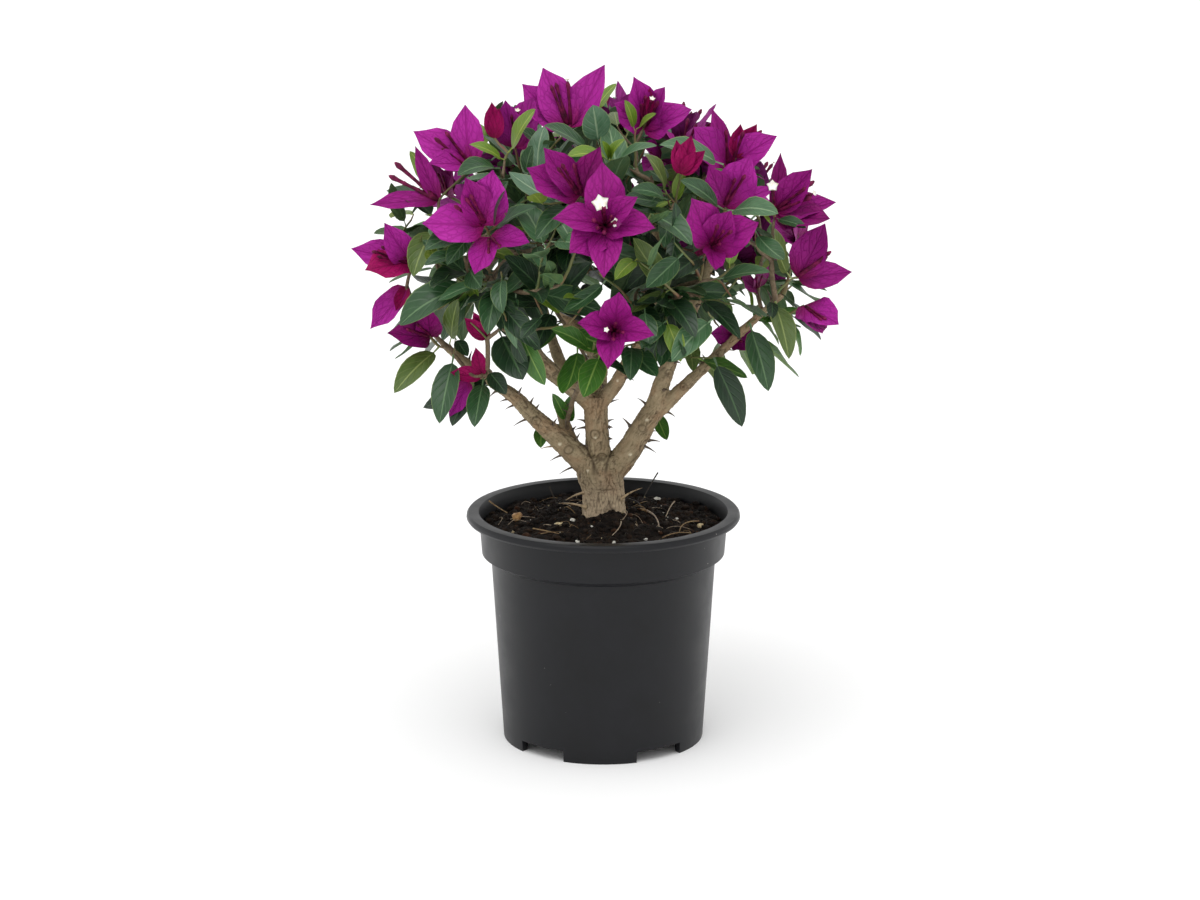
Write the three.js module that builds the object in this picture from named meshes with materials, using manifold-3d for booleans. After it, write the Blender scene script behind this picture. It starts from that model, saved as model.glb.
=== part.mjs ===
// A bougainvillea shrub in a round nursery pot: a stocky stem that forks low into thorny
// boughs, under a domed crown of leaf and flower masses.
// Millimetres, +Z up, -Y is the front. The origin is on the ground under the pot's centre.

import * as THREE from "three";
import { mergeVertices } from "three/addons/utils/BufferGeometryUtils.js";
import Module from "manifold-3d";

const wasm = await Module();
wasm.setup();

// ---------------------------------------------------------------- driving dimensions

const GAP = 0.35; // clear space between neighbouring solids

const POT = {
  height: 162,
  rimRadius: 95,
  rimInner: 86.5,
  lipHeight: 5,
  collarTop: 86.2,
  collarFoot: 84.4,
  collarHeight: 29, // from the pot's top edge down to the collar's lower edge
  ledge: 4, // height of the slope under the collar
  shoulderRadius: 78,
  baseRadius: 70,
  wall: 2,
  floorUnderside: 8,
  floorTop: 10.5,
  footWidth: 5,
  facets: 48,
};
const FOOT = { count: 5, notchWidth: 36, notchHeight: 8, turn: -2 }; // turn in degrees

const SOIL = { edgeDrop: 10, crownDrop: 3, standRadius: 20, facets: 36 };

const CROWN = {
  middle: 330, // height of the widest part of the dome
  reachSide: 170, // furthest tips, left and right of the stem
  reachDepth: 165, // furthest tips, in front of and behind it
  top: 472,
  bottom: 223, // lowest hanging leaves
};

const soilAtStem = POT.height - SOIL.crownDrop;

// ---------------------------------------------------------------- materials

const finish = (color, roughness) =>
  new THREE.MeshStandardMaterial({ color, roughness, metalness: 0 });
const material = {
  pot: finish(0x2f3034, 0.45),
  soil: finish(0x1d1510, 0.95),
  bark: finish(0x8a7560, 0.85),
  foliage: finish(0x2c4f2a, 0.5),
};

// ---------------------------------------------------------------- helpers

const radians = THREE.MathUtils.degToRad;

// A geometry whose shared vertices are merged, so that it can become a solid.
function welded(geometry) {
  geometry.deleteAttribute("normal");
  geometry.deleteAttribute("uv");
  return mergeVertices(geometry, 1e-3);
}

function toSolid(geometry) {
  const g = welded(geometry);
  return new wasm.Manifold(
    new wasm.Mesh({
      numProp: 3,
      vertProperties: new Float32Array(g.attributes.position.array),
      triVerts: new Uint32Array(g.index.array),
    }),
  );
}

function toGeometry(solid) {
  const { vertProperties, triVerts, numProp } = solid.getMesh();
  const position = new Float32Array((vertProperties.length / numProp) * 3);
  for (let i = 0; i < position.length / 3; i++)
    position.set(vertProperties.subarray(i * numProp, i * numProp + 3), i * 3);
  const geometry = new THREE.BufferGeometry();
  geometry.setAttribute("position", new THREE.BufferAttribute(position, 3));
  geometry.setIndex(new THREE.BufferAttribute(triVerts, 1));
  geometry.computeVertexNormals();
  return geometry;
}

const group = new THREE.Group();

function addNode(name, solid, look) {
  const mesh = new THREE.Mesh(toGeometry(solid), look);
  mesh.name = name;
  group.add(mesh);
}

// Turns a profile of [radius, height] points about +Z.
function turned(profile, facets) {
  const points = profile.map(([r, z]) => new THREE.Vector2(r, z));
  const geometry = new THREE.LatheGeometry(points, facets);
  geometry.rotateX(Math.PI / 2);
  return toSolid(geometry);
}

// The largest of the pieces that a cut left.
const largest = (solid) =>
  solid.decompose().reduce((a, b) => (a.volume() > b.volume() ? a : b));

// Repeatable numbers from 0 to 1.
function seeded(seed) {
  let state = seed >>> 0;
  return () => {
    state = (Math.imul(state, 1664525) + 1013904223) >>> 0;
    return state / 2 ** 32;
  };
}

// ---------------------------------------------------------------- pot

// Radius of the pot's outer wall below the collar, at a height.
const wallRadius = (z) =>
  THREE.MathUtils.lerp(
    POT.baseRadius,
    POT.shoulderRadius,
    z / (POT.height - POT.collarHeight - POT.ledge),
  );

function makePot() {
  const collarZ = POT.height - POT.collarHeight;
  const shoulderZ = collarZ - POT.ledge;
  const lipZ = POT.height - POT.lipHeight;
  const inside = POT.wall;
  const profile = [
    [0, POT.floorUnderside],
    [POT.baseRadius - POT.footWidth, POT.floorUnderside],
    [POT.baseRadius - POT.footWidth, 0],
    [POT.baseRadius, 0],
    [POT.shoulderRadius, shoulderZ],
    [POT.collarFoot, collarZ],
    [POT.collarTop, lipZ],
    [POT.rimRadius - 1, lipZ],
    [POT.rimRadius, lipZ + 1.5],
    [POT.rimRadius - 1.5, POT.height],
    [POT.rimInner, POT.height],
    [POT.collarTop - inside, lipZ - 1],
    [POT.collarFoot - inside, collarZ],
    [POT.shoulderRadius - inside, shoulderZ],
    [wallRadius(POT.floorTop) - inside, POT.floorTop],
    [0, POT.floorTop],
  ];
  let pot = turned(profile, POT.facets);
  for (let i = 0; i < FOOT.count; i++) {
    const notch = new THREE.BoxGeometry(
      FOOT.notchWidth,
      4 * POT.footWidth,
      2 * FOOT.notchHeight,
    );
    notch.translate(0, -(POT.baseRadius - POT.footWidth), 0);
    notch.rotateZ(radians(FOOT.turn + ((i + 0.5) * 360) / FOOT.count));
    pot = pot.subtract(toSolid(notch));
  }
  return pot;
}

// ---------------------------------------------------------------- soil

// Height of the potting soil's top, which is heaped up to the stem.
function soilHeight(radius) {
  const share = THREE.MathUtils.smoothstep(radius, SOIL.standRadius, POT.collarFoot);
  return POT.height - THREE.MathUtils.lerp(SOIL.crownDrop, SOIL.edgeDrop, share);
}

function makeSoil() {
  const collarZ = POT.height - POT.collarHeight;
  const shoulderZ = collarZ - POT.ledge;
  const inside = POT.wall + GAP;
  const rings = 4;
  const edge = POT.collarTop - inside - 0.4;
  const profile = [
    [0, POT.floorTop + GAP],
    [wallRadius(POT.floorTop) - inside, POT.floorTop + GAP],
    [POT.shoulderRadius - inside, shoulderZ],
    [POT.collarFoot - inside, collarZ],
  ];
  for (let i = rings; i >= 0; i--) {
    const radius = THREE.MathUtils.lerp(SOIL.standRadius, edge, i / rings);
    profile.push([radius, soilHeight(radius)]);
  }
  profile.push([0, soilAtStem]);
  return turned(profile, SOIL.facets);
}

// ---------------------------------------------------------------- stem and boughs

// A tapering limb: a cylinder laid along a smooth curve through the knots, each [x, y, z, radius].
function limb(knots, sides = 8, stepsPerKnot = 2) {
  const curve = new THREE.CatmullRomCurve3(
    knots.map(([x, y, z]) => new THREE.Vector3(x, y, z)),
  );
  const steps = (knots.length - 1) * stepsPerKnot;
  const frames = curve.computeFrenetFrames(steps);
  const geometry = new THREE.CylinderGeometry(1, 1, 1, sides, steps);
  const position = geometry.attributes.position;
  for (let i = 0; i < position.count; i++) {
    const step = Math.round((position.getY(i) + 0.5) * steps);
    const knot = Math.min(Math.floor(step / stepsPerKnot), knots.length - 2);
    const share = step / stepsPerKnot - knot;
    const radius = THREE.MathUtils.lerp(knots[knot][3], knots[knot + 1][3], share);
    const point = curve
      .getPoint(step / steps)
      .addScaledVector(frames.normals[step], -position.getX(i) * radius)
      .addScaledVector(frames.binormals[step], position.getZ(i) * radius);
    position.setXYZ(i, point.x, point.y, point.z);
  }
  return toSolid(geometry);
}

// The stem: base, waist and the swelling where the boughs part. Its foot is cut flat.
const STEM = {
  base: [0.5, 0, soilAtStem - 8, 16],
  waist: [0, 0, soilAtStem + 16, 14.8],
  swelling: [-2.5, 0, soilAtStem + 32, 16.4],
  fork: [-3, 0, soilAtStem + 44, 13.5],
};

// Each bough as knots of [x, y, z, radius], from its foot inside its parent to its tip in the crown.
const BOUGHS = {
  centre_stem: {
    parent: "trunk",
    knots: [
      [-3, 0, 192, 10],
      [-4, 0, 212, 8.6],
      [-5, 0, 230, 8.3],
      [-5, 0, 244, 8.6],
    ],
  },
  left_bough: {
    parent: "trunk",
    knots: [
      [-7, 0, 190, 9.5],
      [-21, -3, 203, 9],
      [-36, -6, 217.5, 7.8],
      [-50, -8, 231, 6.9],
      [-64, -10, 245.5, 5.6],
      [-83, -12, 259, 4.2],
      [-106, -14, 280, 2.8],
    ],
  },
  left_side_shoot: {
    parent: "left_bough",
    knots: [
      [-19, 2, 204, 5],
      [-25, 8, 217, 4.4],
      [-30, 13, 232, 3.6],
    ],
  },
  centre_left_bough: {
    parent: "centre_stem",
    knots: [
      [-8, 0, 238, 6.8],
      [-18, -2, 247, 6.2],
      [-38, -6, 264, 5.9],
      [-48, -8, 277, 5.4],
      [-55, -9, 292, 4.7],
      [-68, -10, 310, 3.6],
      [-80, -10, 335, 2.8],
    ],
  },
  centre_back_bough: {
    parent: "centre_left_bough",
    knots: [
      [-19, 2, 249, 4.8],
      [-26, 9, 258, 4.5],
      [-33, 17, 272, 4],
      [-42, 30, 300, 3.4],
      [-50, 44, 335, 2.6],
    ],
  },
  centre_right_bough: {
    parent: "centre_stem",
    knots: [
      [-3, 0, 238, 6],
      [9, -3, 253, 5],
      [17, -6, 269, 4.6],
      [27, -9, 284, 4.2],
      [36, -11, 299, 3.7],
      [40, -12, 330, 3],
      [34, -12, 365, 2.4],
    ],
  },
  right_bough: {
    parent: "trunk",
    knots: [
      [4, 0, 188, 9.8],
      [16, -2, 203, 9],
      [26, -3, 220, 8.2],
      [34, -4, 234, 7.4],
    ],
  },
  right_inner_bough: {
    parent: "right_bough",
    knots: [
      [32, -4, 229, 6.8],
      [37, -5, 243, 6.2],
      [42, -6, 259, 5.8],
      [51, -8, 284, 4.9],
      [62, -6, 309, 4.2],
      [72, -2, 335, 3.2],
      [76, 0, 360, 2.6],
    ],
  },
  right_outer_bough: {
    parent: "right_bough",
    knots: [
      [33, -3, 229, 5.8],
      [47, -4, 242.5, 4.9],
      [63, -6, 259, 4.1],
      [79, -8, 275, 3.6],
      [102, -10, 298, 2.8],
      [122, -12, 317, 2.2],
    ],
  },
  back_bough: {
    parent: "trunk",
    knots: [
      [-2, 4, 192, 8],
      [-3, 17, 214, 6.8],
      [-3, 34, 240, 6],
      [-2, 50, 262, 5.4],
    ],
  },
  back_left_bough: {
    parent: "back_bough",
    knots: [
      [-3, 47, 257, 5],
      [-20, 60, 280, 4.4],
      [-42, 74, 305, 3.6],
      [-60, 84, 335, 2.8],
    ],
  },
  back_right_bough: {
    parent: "back_bough",
    knots: [
      [-2, 47, 257, 5],
      [16, 62, 278, 4.4],
      [38, 76, 300, 3.6],
      [58, 84, 328, 2.8],
    ],
  },
};

function makeTrunk() {
  const upright = limb([STEM.base, STEM.waist, STEM.swelling, STEM.fork], 14, 2);
  const below = new THREE.BoxGeometry(200, 200, 100);
  below.translate(0, 0, soilAtStem + GAP - 50);
  return upright.subtract(toSolid(below));
}

// ---------------------------------------------------------------- foliage masses

// The rings of masses round the dome. out is how far a mass's middle is from the axis, up its
// height over CROWN.middle, and turns holds each mass's azimuth in degrees, from +X towards +Y.
const RINGS = [
  {
    out: 6,
    up: 92,
    size: [58, 58, 52],
    turns: { foliage_top: 250 },
  },
  {
    out: 92,
    up: 56,
    size: [50, 58, 50],
    turns: {
      foliage_upper_right: 16,
      foliage_upper_back_right: 75,
      foliage_upper_back_left: 134,
      foliage_upper_left: 194,
      foliage_upper_front: 256,
      foliage_upper_front_right: 316,
    },
  },
  {
    out: 122,
    up: 2,
    size: [48, 54, 46],
    turns: {
      foliage_right: 0,
      foliage_back_right: 45,
      foliage_back: 90,
      foliage_back_left: 135,
      foliage_left: 180,
      foliage_front_left: 225,
      foliage_front: 270,
      foliage_front_right: 315,
    },
  },
  {
    out: 104,
    up: -58,
    size: [36, 40, 44],
    turns: {
      foliage_skirt_right: -2,
      foliage_skirt_back_right: 58,
      foliage_skirt_back_left: 118,
      foliage_skirt_left: 184,
    },
  },
];

// An uneven lump: an icosahedral ball whose radius swells and sinks in a few waves, and rises
// to a point wherever a shoot stands out of it.
function lump([rx, ry, rz], random) {
  const geometry = new THREE.IcosahedronGeometry(1, 2);
  const shoots = Array.from({ length: 8 }, () => {
    const z = 2 * random() - 1;
    const turn = 2 * Math.PI * random();
    const flat = Math.sqrt(1 - z * z);
    return new THREE.Vector3(flat * Math.cos(turn), flat * Math.sin(turn), z);
  });
  const [a, b, c] = [random(), random(), random()].map((x) => x * 2 * Math.PI);
  const position = geometry.attributes.position;
  const p = new THREE.Vector3();
  for (let i = 0; i < position.count; i++) {
    p.fromBufferAttribute(position, i).normalize();
    const waves = Math.sin(3.1 * p.x + a) + Math.sin(3.7 * p.y + b) + Math.sin(4.3 * p.z + c);
    const points = shoots.map((s) => Math.max(0, p.dot(s)) ** 16);
    const radius = 0.9 + 0.05 * waves + 0.2 * Math.max(...points);
    position.setXYZ(i, p.x * rx * radius, p.y * ry * radius, p.z * rz * radius);
  }
  return geometry;
}

// Every mass as { name, middle, geometry }, before it is cut by its neighbours.
function rawMasses() {
  const masses = [];
  for (const { out, up, size, turns } of RINGS)
    for (const [name, turn] of Object.entries(turns)) {
      const middle = new THREE.Vector3(
        out * Math.cos(radians(turn)),
        out * Math.sin(radians(turn)),
        CROWN.middle + up,
      );
      const geometry = lump(size, seeded(1000 + 37 * masses.length));
      geometry.rotateZ(radians(turn)).translate(middle.x, middle.y, middle.z);
      masses.push({ name, middle, geometry });
    }
  return masses;
}

// Stretches the crown as a whole, so that it reaches its stated tips and its middle is over
// the stem.
function fitCrown(masses) {
  const reach = new THREE.Box3();
  for (const { geometry } of masses) {
    geometry.computeBoundingBox();
    reach.union(geometry.boundingBox);
  }
  const centre = reach.getCenter(new THREE.Vector3());
  const size = reach.getSize(new THREE.Vector3());
  const height = CROWN.top - CROWN.bottom;
  const fit = new THREE.Matrix4()
    .makeTranslation(0, 0, CROWN.bottom + height / 2)
    .scale(
      new THREE.Vector3(
        (2 * CROWN.reachSide) / size.x,
        (2 * CROWN.reachDepth) / size.y,
        height / size.z,
      ),
    )
    .multiply(new THREE.Matrix4().makeTranslation(-centre.x, -centre.y, -centre.z));
  for (const mass of masses) {
    mass.middle.applyMatrix4(fit);
    mass.solid = toSolid(mass.geometry.applyMatrix4(fit));
  }
}

// Cuts a mass back to its own side of the plane halfway to a neighbour.
function cutHalfway(mass, other) {
  const side = 400;
  const away = other.middle.clone().sub(mass.middle);
  const distance = away.length();
  away.normalize();
  const block = new THREE.BoxGeometry(side, side, side);
  block.translate(0, 0, side / 2);
  block.applyQuaternion(
    new THREE.Quaternion().setFromUnitVectors(new THREE.Vector3(0, 0, 1), away),
  );
  const start = mass.middle.clone().addScaledVector(away, distance / 2 - GAP / 2);
  block.translate(start.x, start.y, start.z);
  return mass.solid.subtract(toSolid(block));
}

function makeMasses() {
  const masses = rawMasses();
  fitCrown(masses);
  const whole = masses.map((m) => m.solid);
  masses.forEach((mass, i) => {
    masses.forEach((other, j) => {
      if (i !== j && whole[i].intersect(whole[j]).volume() > 0)
        mass.solid = cutHalfway(mass, other);
    });
    mass.solid = largest(mass.solid);
  });
  return masses;
}

// ---------------------------------------------------------------- assembly

// A solid swollen by about the gap, to cut its neighbours with clear space.
const STEPS_OUT = [
  [GAP, 0, 0],
  [-GAP, 0, 0],
  [0, GAP, 0],
  [0, -GAP, 0],
  [0, 0, GAP],
  [0, 0, -GAP],
];
const swollen = (solid) =>
  STEPS_OUT.reduce((whole, step) => whole.add(solid.translate(step)), solid);

addNode("pot", makePot(), material.pot);
addNode("soil", makeSoil(), material.soil);

const masses = makeMasses();
const crown = masses.map((m) => m.solid).reduce((a, b) => a.add(b));
const crownCutter = swollen(crown);

const limbs = { trunk: makeTrunk() };
const cutters = { trunk: swollen(limbs.trunk) };
addNode("trunk", limbs.trunk, material.bark);
for (const [name, { parent, knots }] of Object.entries(BOUGHS)) {
  let solid = limb(knots);
  cutters[name] = swollen(solid);
  for (const [other, cutter] of Object.entries(cutters))
    if (other !== name) solid = solid.subtract(cutter);
  if (!(parent in limbs)) throw new Error(`${name} grows from ${parent}, which isn't made yet`);
  solid = largest(solid.subtract(crownCutter));
  limbs[name] = solid;
  addNode(name, solid, material.bark);
}

for (const { name, solid } of masses) addNode(name, solid, material.foliage);

export default group;
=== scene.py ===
# %% [markdown]
# # A potted bougainvillea in Blender
# The plant is grown as a small bush: a short thick stem forks low into thorny boughs, and a dome of
# leaves and magenta bracts stands on them, in a black nursery pot. A CAD frame holds the true sizes.
# It has the pot, the soil, the limbs and one plain solid for each mass of foliage. This lesson keeps
# those places and gives every piece its real surface, twigs, leaves and flowers.

# %% Load the frame
import math
import random

import bmesh
import bpy
from mathutils import Matrix, Vector, kdtree, noise


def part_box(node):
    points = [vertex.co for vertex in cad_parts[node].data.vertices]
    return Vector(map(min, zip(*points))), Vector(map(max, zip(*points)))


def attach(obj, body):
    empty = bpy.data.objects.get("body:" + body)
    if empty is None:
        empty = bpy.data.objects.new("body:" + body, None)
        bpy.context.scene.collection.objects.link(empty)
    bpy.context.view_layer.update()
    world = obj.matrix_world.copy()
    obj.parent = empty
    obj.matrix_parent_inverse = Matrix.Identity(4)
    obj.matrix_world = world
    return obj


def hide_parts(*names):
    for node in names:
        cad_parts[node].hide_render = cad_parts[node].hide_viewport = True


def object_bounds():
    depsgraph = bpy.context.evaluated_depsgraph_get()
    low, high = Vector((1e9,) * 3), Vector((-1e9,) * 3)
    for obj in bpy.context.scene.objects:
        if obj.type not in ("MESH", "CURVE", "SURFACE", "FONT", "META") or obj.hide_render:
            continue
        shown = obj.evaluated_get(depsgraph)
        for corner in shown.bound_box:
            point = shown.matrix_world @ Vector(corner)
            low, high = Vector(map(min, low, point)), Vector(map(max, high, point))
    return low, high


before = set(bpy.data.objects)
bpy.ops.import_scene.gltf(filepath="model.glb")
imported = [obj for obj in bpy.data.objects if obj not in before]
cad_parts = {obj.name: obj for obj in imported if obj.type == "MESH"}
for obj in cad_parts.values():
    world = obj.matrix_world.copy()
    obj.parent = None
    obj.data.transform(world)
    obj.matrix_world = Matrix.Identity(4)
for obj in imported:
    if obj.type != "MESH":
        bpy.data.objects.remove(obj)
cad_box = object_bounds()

MM = 0.001
# Limits in radians for a turn that may be anything.
ANY_TURN = (0, 6.28)
scene = bpy.context.scene
# Noise vectors are shifted by an amount that comes from the clock unless the module is seeded.
NOISE_SEED = 1
noise.seed_set(NOISE_SEED)
for corner in cad_box:
    print("corner of the CAD box in mm:", [round(v / MM) for v in corner])

# %% [markdown]
# ## Six helpers
# Colours are picked as sRGB hex values, because that is how a paint chart or a screen shows them. A
# shader adds light up, so it needs linear values, and one function turns them. Two more add a shader
# node with its settings and links, and start a material. The rest put a finished mesh in the scene as
# a piece, apply modifiers to a mesh, and join many placed copies into one mesh.


# %% Colours, nodes and pieces
def linear(hex_colour):
    """An sRGB hex colour as linear red, green, blue and an alpha of one."""
    channels = [int(hex_colour[i:i + 2], 16) / 255 for i in (1, 3, 5)]
    return [c / 12.92 if c <= 0.04045 else ((c + 0.055) / 1.055) ** 2.4 for c in channels] + [1.0]


def add(tree, kind, links=None, stops=None, **settings):
    """Add one node. links holds its inputs: a plain value, or another node's output."""
    node = tree.nodes.new(kind)
    for setting, value in settings.items():
        setattr(node, setting, value)
    for key, value in (links or {}).items():
        if isinstance(value, bpy.types.NodeSocket):
            tree.links.new(value, node.inputs[key])
        else:
            node.inputs[key].default_value = value
    if stops:
        elements = node.color_ramp.elements
        while len(elements) < len(stops):
            elements.new(1.0)
        for element, (place, colour) in zip(elements, stops):
            element.position = place
            element.color = linear(colour)
    return node


def new_material(name, **sockets):
    """An opaque material with a Principled shader; sockets are its constant settings."""
    made = bpy.data.materials.new(name)
    made.use_nodes = True
    shader = made.node_tree.nodes["Principled BSDF"]
    for socket, value in sockets.items():
        shader.inputs[socket.replace("_", " ")].default_value = value
    return made, made.node_tree, shader


def add_piece(name, mesh, materials, slot, *replaced):
    """Show a mesh as a piece of the plant, in place of CAD nodes. slot is not used."""
    piece = bpy.data.objects.new(name, mesh)
    scene.collection.objects.link(piece)
    if not mesh.materials:
        for made in materials:
            mesh.materials.append(made)
    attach(piece, "root")
    if replaced:
        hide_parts(*replaced)
    mesh.calc_loop_triangles()
    print(name, "has", len(mesh.loop_triangles), "triangles")
    return piece


def applied(mesh, *modifiers):
    """The mesh after modifiers, each given as its kind and a dictionary of settings."""
    holder = bpy.data.objects.new("holder", mesh)
    scene.collection.objects.link(holder)
    for kind, settings in modifiers:
        modifier = holder.modifiers.new(kind.title(), kind)
        for setting, value in settings.items():
            setattr(modifier, setting, value)
    shown = holder.evaluated_get(bpy.context.evaluated_depsgraph_get())
    made = bpy.data.meshes.new_from_object(shown)
    bpy.data.objects.remove(holder)
    return made


def joined(name, copies):
    """One mesh of many copies, each given as a mesh and the matrix that places it."""
    holders = []
    for mesh, matrix in copies:
        holder = bpy.data.objects.new(name, mesh)
        holder.matrix_world = matrix
        scene.collection.objects.link(holder)
        holders.append(holder)
    first = bpy.data.objects.new(name, copies[0][0].copy())
    first.data.clear_geometry()
    scene.collection.objects.link(first)
    bpy.context.view_layer.update()
    with bpy.context.temp_override(active_object=first, selected_editable_objects=[first] + holders):
        bpy.ops.object.join()
    made = first.data
    bpy.data.objects.remove(first)
    return made


# %% [markdown]
# ## Camera, floor and light
# The plant is seen from a little above, with a long lens from over two metres away, so the pot's
# sides stay nearly parallel. A white floor that is much wider than the view fills the background. A
# pale sky lights it from all sides, which keeps the shadow at the pot's foot soft, and a broad lamp
# up at the front left models the leaves.

# %% Camera
LOOK_AT = Vector((-2.3, 0, 205)) * MM
VIEW_ELEVATION = math.radians(13.9)
VIEW_DISTANCE = 2.33
LENS = 101.1
SENSOR_WIDTH = 36
TO_VIEWER = Vector((0, -math.cos(VIEW_ELEVATION), math.sin(VIEW_ELEVATION)))
ACROSS = Vector((1, 0, 0))
UP_VIEW = Vector((0, math.sin(VIEW_ELEVATION), math.cos(VIEW_ELEVATION)))

camera_data = bpy.data.cameras.new("camera")
camera_data.lens = LENS
camera_data.sensor_width = SENSOR_WIDTH
camera = bpy.data.objects.new("camera", camera_data)
camera.location = LOOK_AT + TO_VIEWER * VIEW_DISTANCE
camera.rotation_mode = "QUATERNION"
camera.rotation_quaternion = (-TO_VIEWER).to_track_quat("-Z", "Y")
scene.collection.objects.link(camera)
scene.camera = camera
scene.view_settings.view_transform = "Standard"
print("the camera stands", VIEW_DISTANCE, "m away with a lens of", LENS, "mm")

# %% Floor
FLOOR_REACH = 30
floor_mesh = bpy.data.meshes.new("floor")
bm = bmesh.new()
bmesh.ops.create_circle(bm, cap_ends=True, segments=64, radius=FLOOR_REACH)
bm.to_mesh(floor_mesh)
bm.free()
floor_paint, tree, shader = new_material("studio_floor_white_paint", Roughness=0.9)
shader.inputs["Base Color"].default_value = linear("#ffffff")
floor_mesh.materials.append(floor_paint)
floor = bpy.data.objects.new("floor", floor_mesh)
scene.collection.objects.link(floor)
print("the floor reaches", FLOOR_REACH, "m each way")

# %% Light
SKY_STRENGTH = 1.0
LAMP_STRENGTH = 0.85
LAMP_WIDTH = math.radians(45)
FROM_THE_LAMP = Vector((-0.25, -0.75, 1.6))

sky = bpy.data.worlds.new("sky")
sky.use_nodes = True
sky.node_tree.nodes["Background"].inputs["Color"].default_value = linear("#ffffff")
sky.node_tree.nodes["Background"].inputs["Strength"].default_value = SKY_STRENGTH
scene.world = sky
lamp_data = bpy.data.lights.new("broad_lamp", "SUN")
lamp_data.energy = LAMP_STRENGTH
lamp_data.angle = LAMP_WIDTH
lamp = bpy.data.objects.new("broad_lamp", lamp_data)
lamp.rotation_mode = "QUATERNION"
lamp.rotation_quaternion = FROM_THE_LAMP.to_track_quat("Z", "Y")
scene.collection.objects.link(lamp)
print("the sky and the lamp are set")

# %% [markdown]
# ## The nursery pot
# The pot is injection-moulded polypropylene: one thin wall with a collar, a rolled lip and a foot
# ring with five notches that let water out. A turned shape like this is a profile spun round an
# axis. The notches are cut from the foot with a Boolean, and a small Bevel on every sharp edge gives
# the rounding that all moulded edges have.

# %% Sizes of the pot
pot_low, pot_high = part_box("pot")
POT_HEIGHT = (pot_high.z - pot_low.z) / MM
RIM_RADIUS = (pot_high.x - pot_low.x) / 2 / MM
LIP_INSIDE = 86.5
LIP_HEIGHT = 5
COLLAR_HEIGHT = 29
COLLAR_TOP = 86.2
COLLAR_FOOT = 84.4
LEDGE = 4
SHOULDER_RADIUS = 78
BASE_RADIUS = 70
WALL = 2
FLOOR_UNDERSIDE = 8
FLOOR_TOP = 10.5
FOOT_WIDTH = 5
LIP_STEPS = (3.5, 1.4)
NOTCHES = 5
NOTCH_WIDTH = 36
NOTCH_HEIGHT = 8
NOTCH_TURN = math.radians(-2)
SPIN_STEPS = 180
collar_bottom = POT_HEIGHT - COLLAR_HEIGHT
wall_top = collar_bottom - LEDGE
print("pot", round(POT_HEIGHT, 1), "mm tall and", round(2 * RIM_RADIUS, 1), "mm over its lip")


# %% Spin the profile
def inner_radius(height):
    """Radius in mm of the pot's inside at a height up to its ledge."""
    return BASE_RADIUS + (SHOULDER_RADIUS - BASE_RADIUS) * height / wall_top - WALL


POT_PROFILE = [
    (0, FLOOR_UNDERSIDE),
    (BASE_RADIUS - FOOT_WIDTH, FLOOR_UNDERSIDE),
    (BASE_RADIUS - FOOT_WIDTH, 0),
    (BASE_RADIUS, 0),
    (inner_radius(NOTCH_HEIGHT + 1.5) + WALL, NOTCH_HEIGHT + 1.5),
    (inner_radius(NOTCH_HEIGHT + 4) + WALL, NOTCH_HEIGHT + 4),
    (SHOULDER_RADIUS, wall_top),
    (COLLAR_FOOT, collar_bottom),
    (COLLAR_TOP, POT_HEIGHT - LIP_HEIGHT),
    (RIM_RADIUS - 1, POT_HEIGHT - LIP_HEIGHT),
    (RIM_RADIUS, POT_HEIGHT - LIP_STEPS[0]),
    (RIM_RADIUS - 0.3, POT_HEIGHT - LIP_STEPS[1]),
    (RIM_RADIUS - 1.5, POT_HEIGHT),
    (LIP_INSIDE, POT_HEIGHT),
    (COLLAR_TOP - WALL, POT_HEIGHT - LIP_HEIGHT - 1),
    (COLLAR_FOOT - WALL, collar_bottom),
    (SHOULDER_RADIUS - WALL, wall_top),
    (inner_radius(FLOOR_TOP), FLOOR_TOP),
    (0, FLOOR_TOP),
]


def spun(name, profile, steps):
    """A closed solid from a profile of (radius, height) in mm that starts and ends on the axis."""
    bm = bmesh.new()
    corners = [bm.verts.new(Vector((0, -r, z)) * MM) for r, z in profile]
    sides = [bm.edges.new(pair) for pair in zip(corners, corners[1:])]
    bmesh.ops.spin(bm, geom=corners + sides, cent=(0, 0, 0), axis=(0, 0, 1), dvec=(0, 0, 0),
                   angle=2 * math.pi, steps=steps, use_merge=True)
    bmesh.ops.remove_doubles(bm, verts=bm.verts, dist=0.01 * MM)
    bmesh.ops.recalc_face_normals(bm, faces=bm.faces)
    mesh = bpy.data.meshes.new(name)
    bm.to_mesh(mesh)
    bm.free()
    return mesh


pot_blank = spun("pot_blank", POT_PROFILE, SPIN_STEPS)
print("the spun pot has", len(pot_blank.polygons), "faces")

# %% Cut the notches and round the edges
bm = bmesh.new()
for number in range(NOTCHES):
    turn = NOTCH_TURN + (number + 0.5) * 2 * math.pi / NOTCHES
    place = Matrix.Rotation(turn, 4, "Z") @ Matrix.Translation(Vector((0, -BASE_RADIUS, 0)) * MM)
    size = Matrix.Diagonal((NOTCH_WIDTH * MM, 4 * FOOT_WIDTH * MM, 2 * NOTCH_HEIGHT * MM, 1))
    bmesh.ops.create_cube(bm, size=1, matrix=place @ size)
cutter_mesh = bpy.data.meshes.new("cutters")
bm.to_mesh(cutter_mesh)
bm.free()
cutters = bpy.data.objects.new("cutters", cutter_mesh)
scene.collection.objects.link(cutters)
pot_mesh = applied(
    pot_blank,
    ("BOOLEAN", {"operation": "DIFFERENCE", "object": cutters, "solver": "EXACT"}),
    ("BEVEL", {"width": 0.55 * MM, "segments": 3, "limit_method": "ANGLE",
               "angle_limit": math.radians(28)}),
)
bpy.data.objects.remove(cutters)
for face in pot_mesh.polygons:
    face.use_smooth = True
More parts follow.
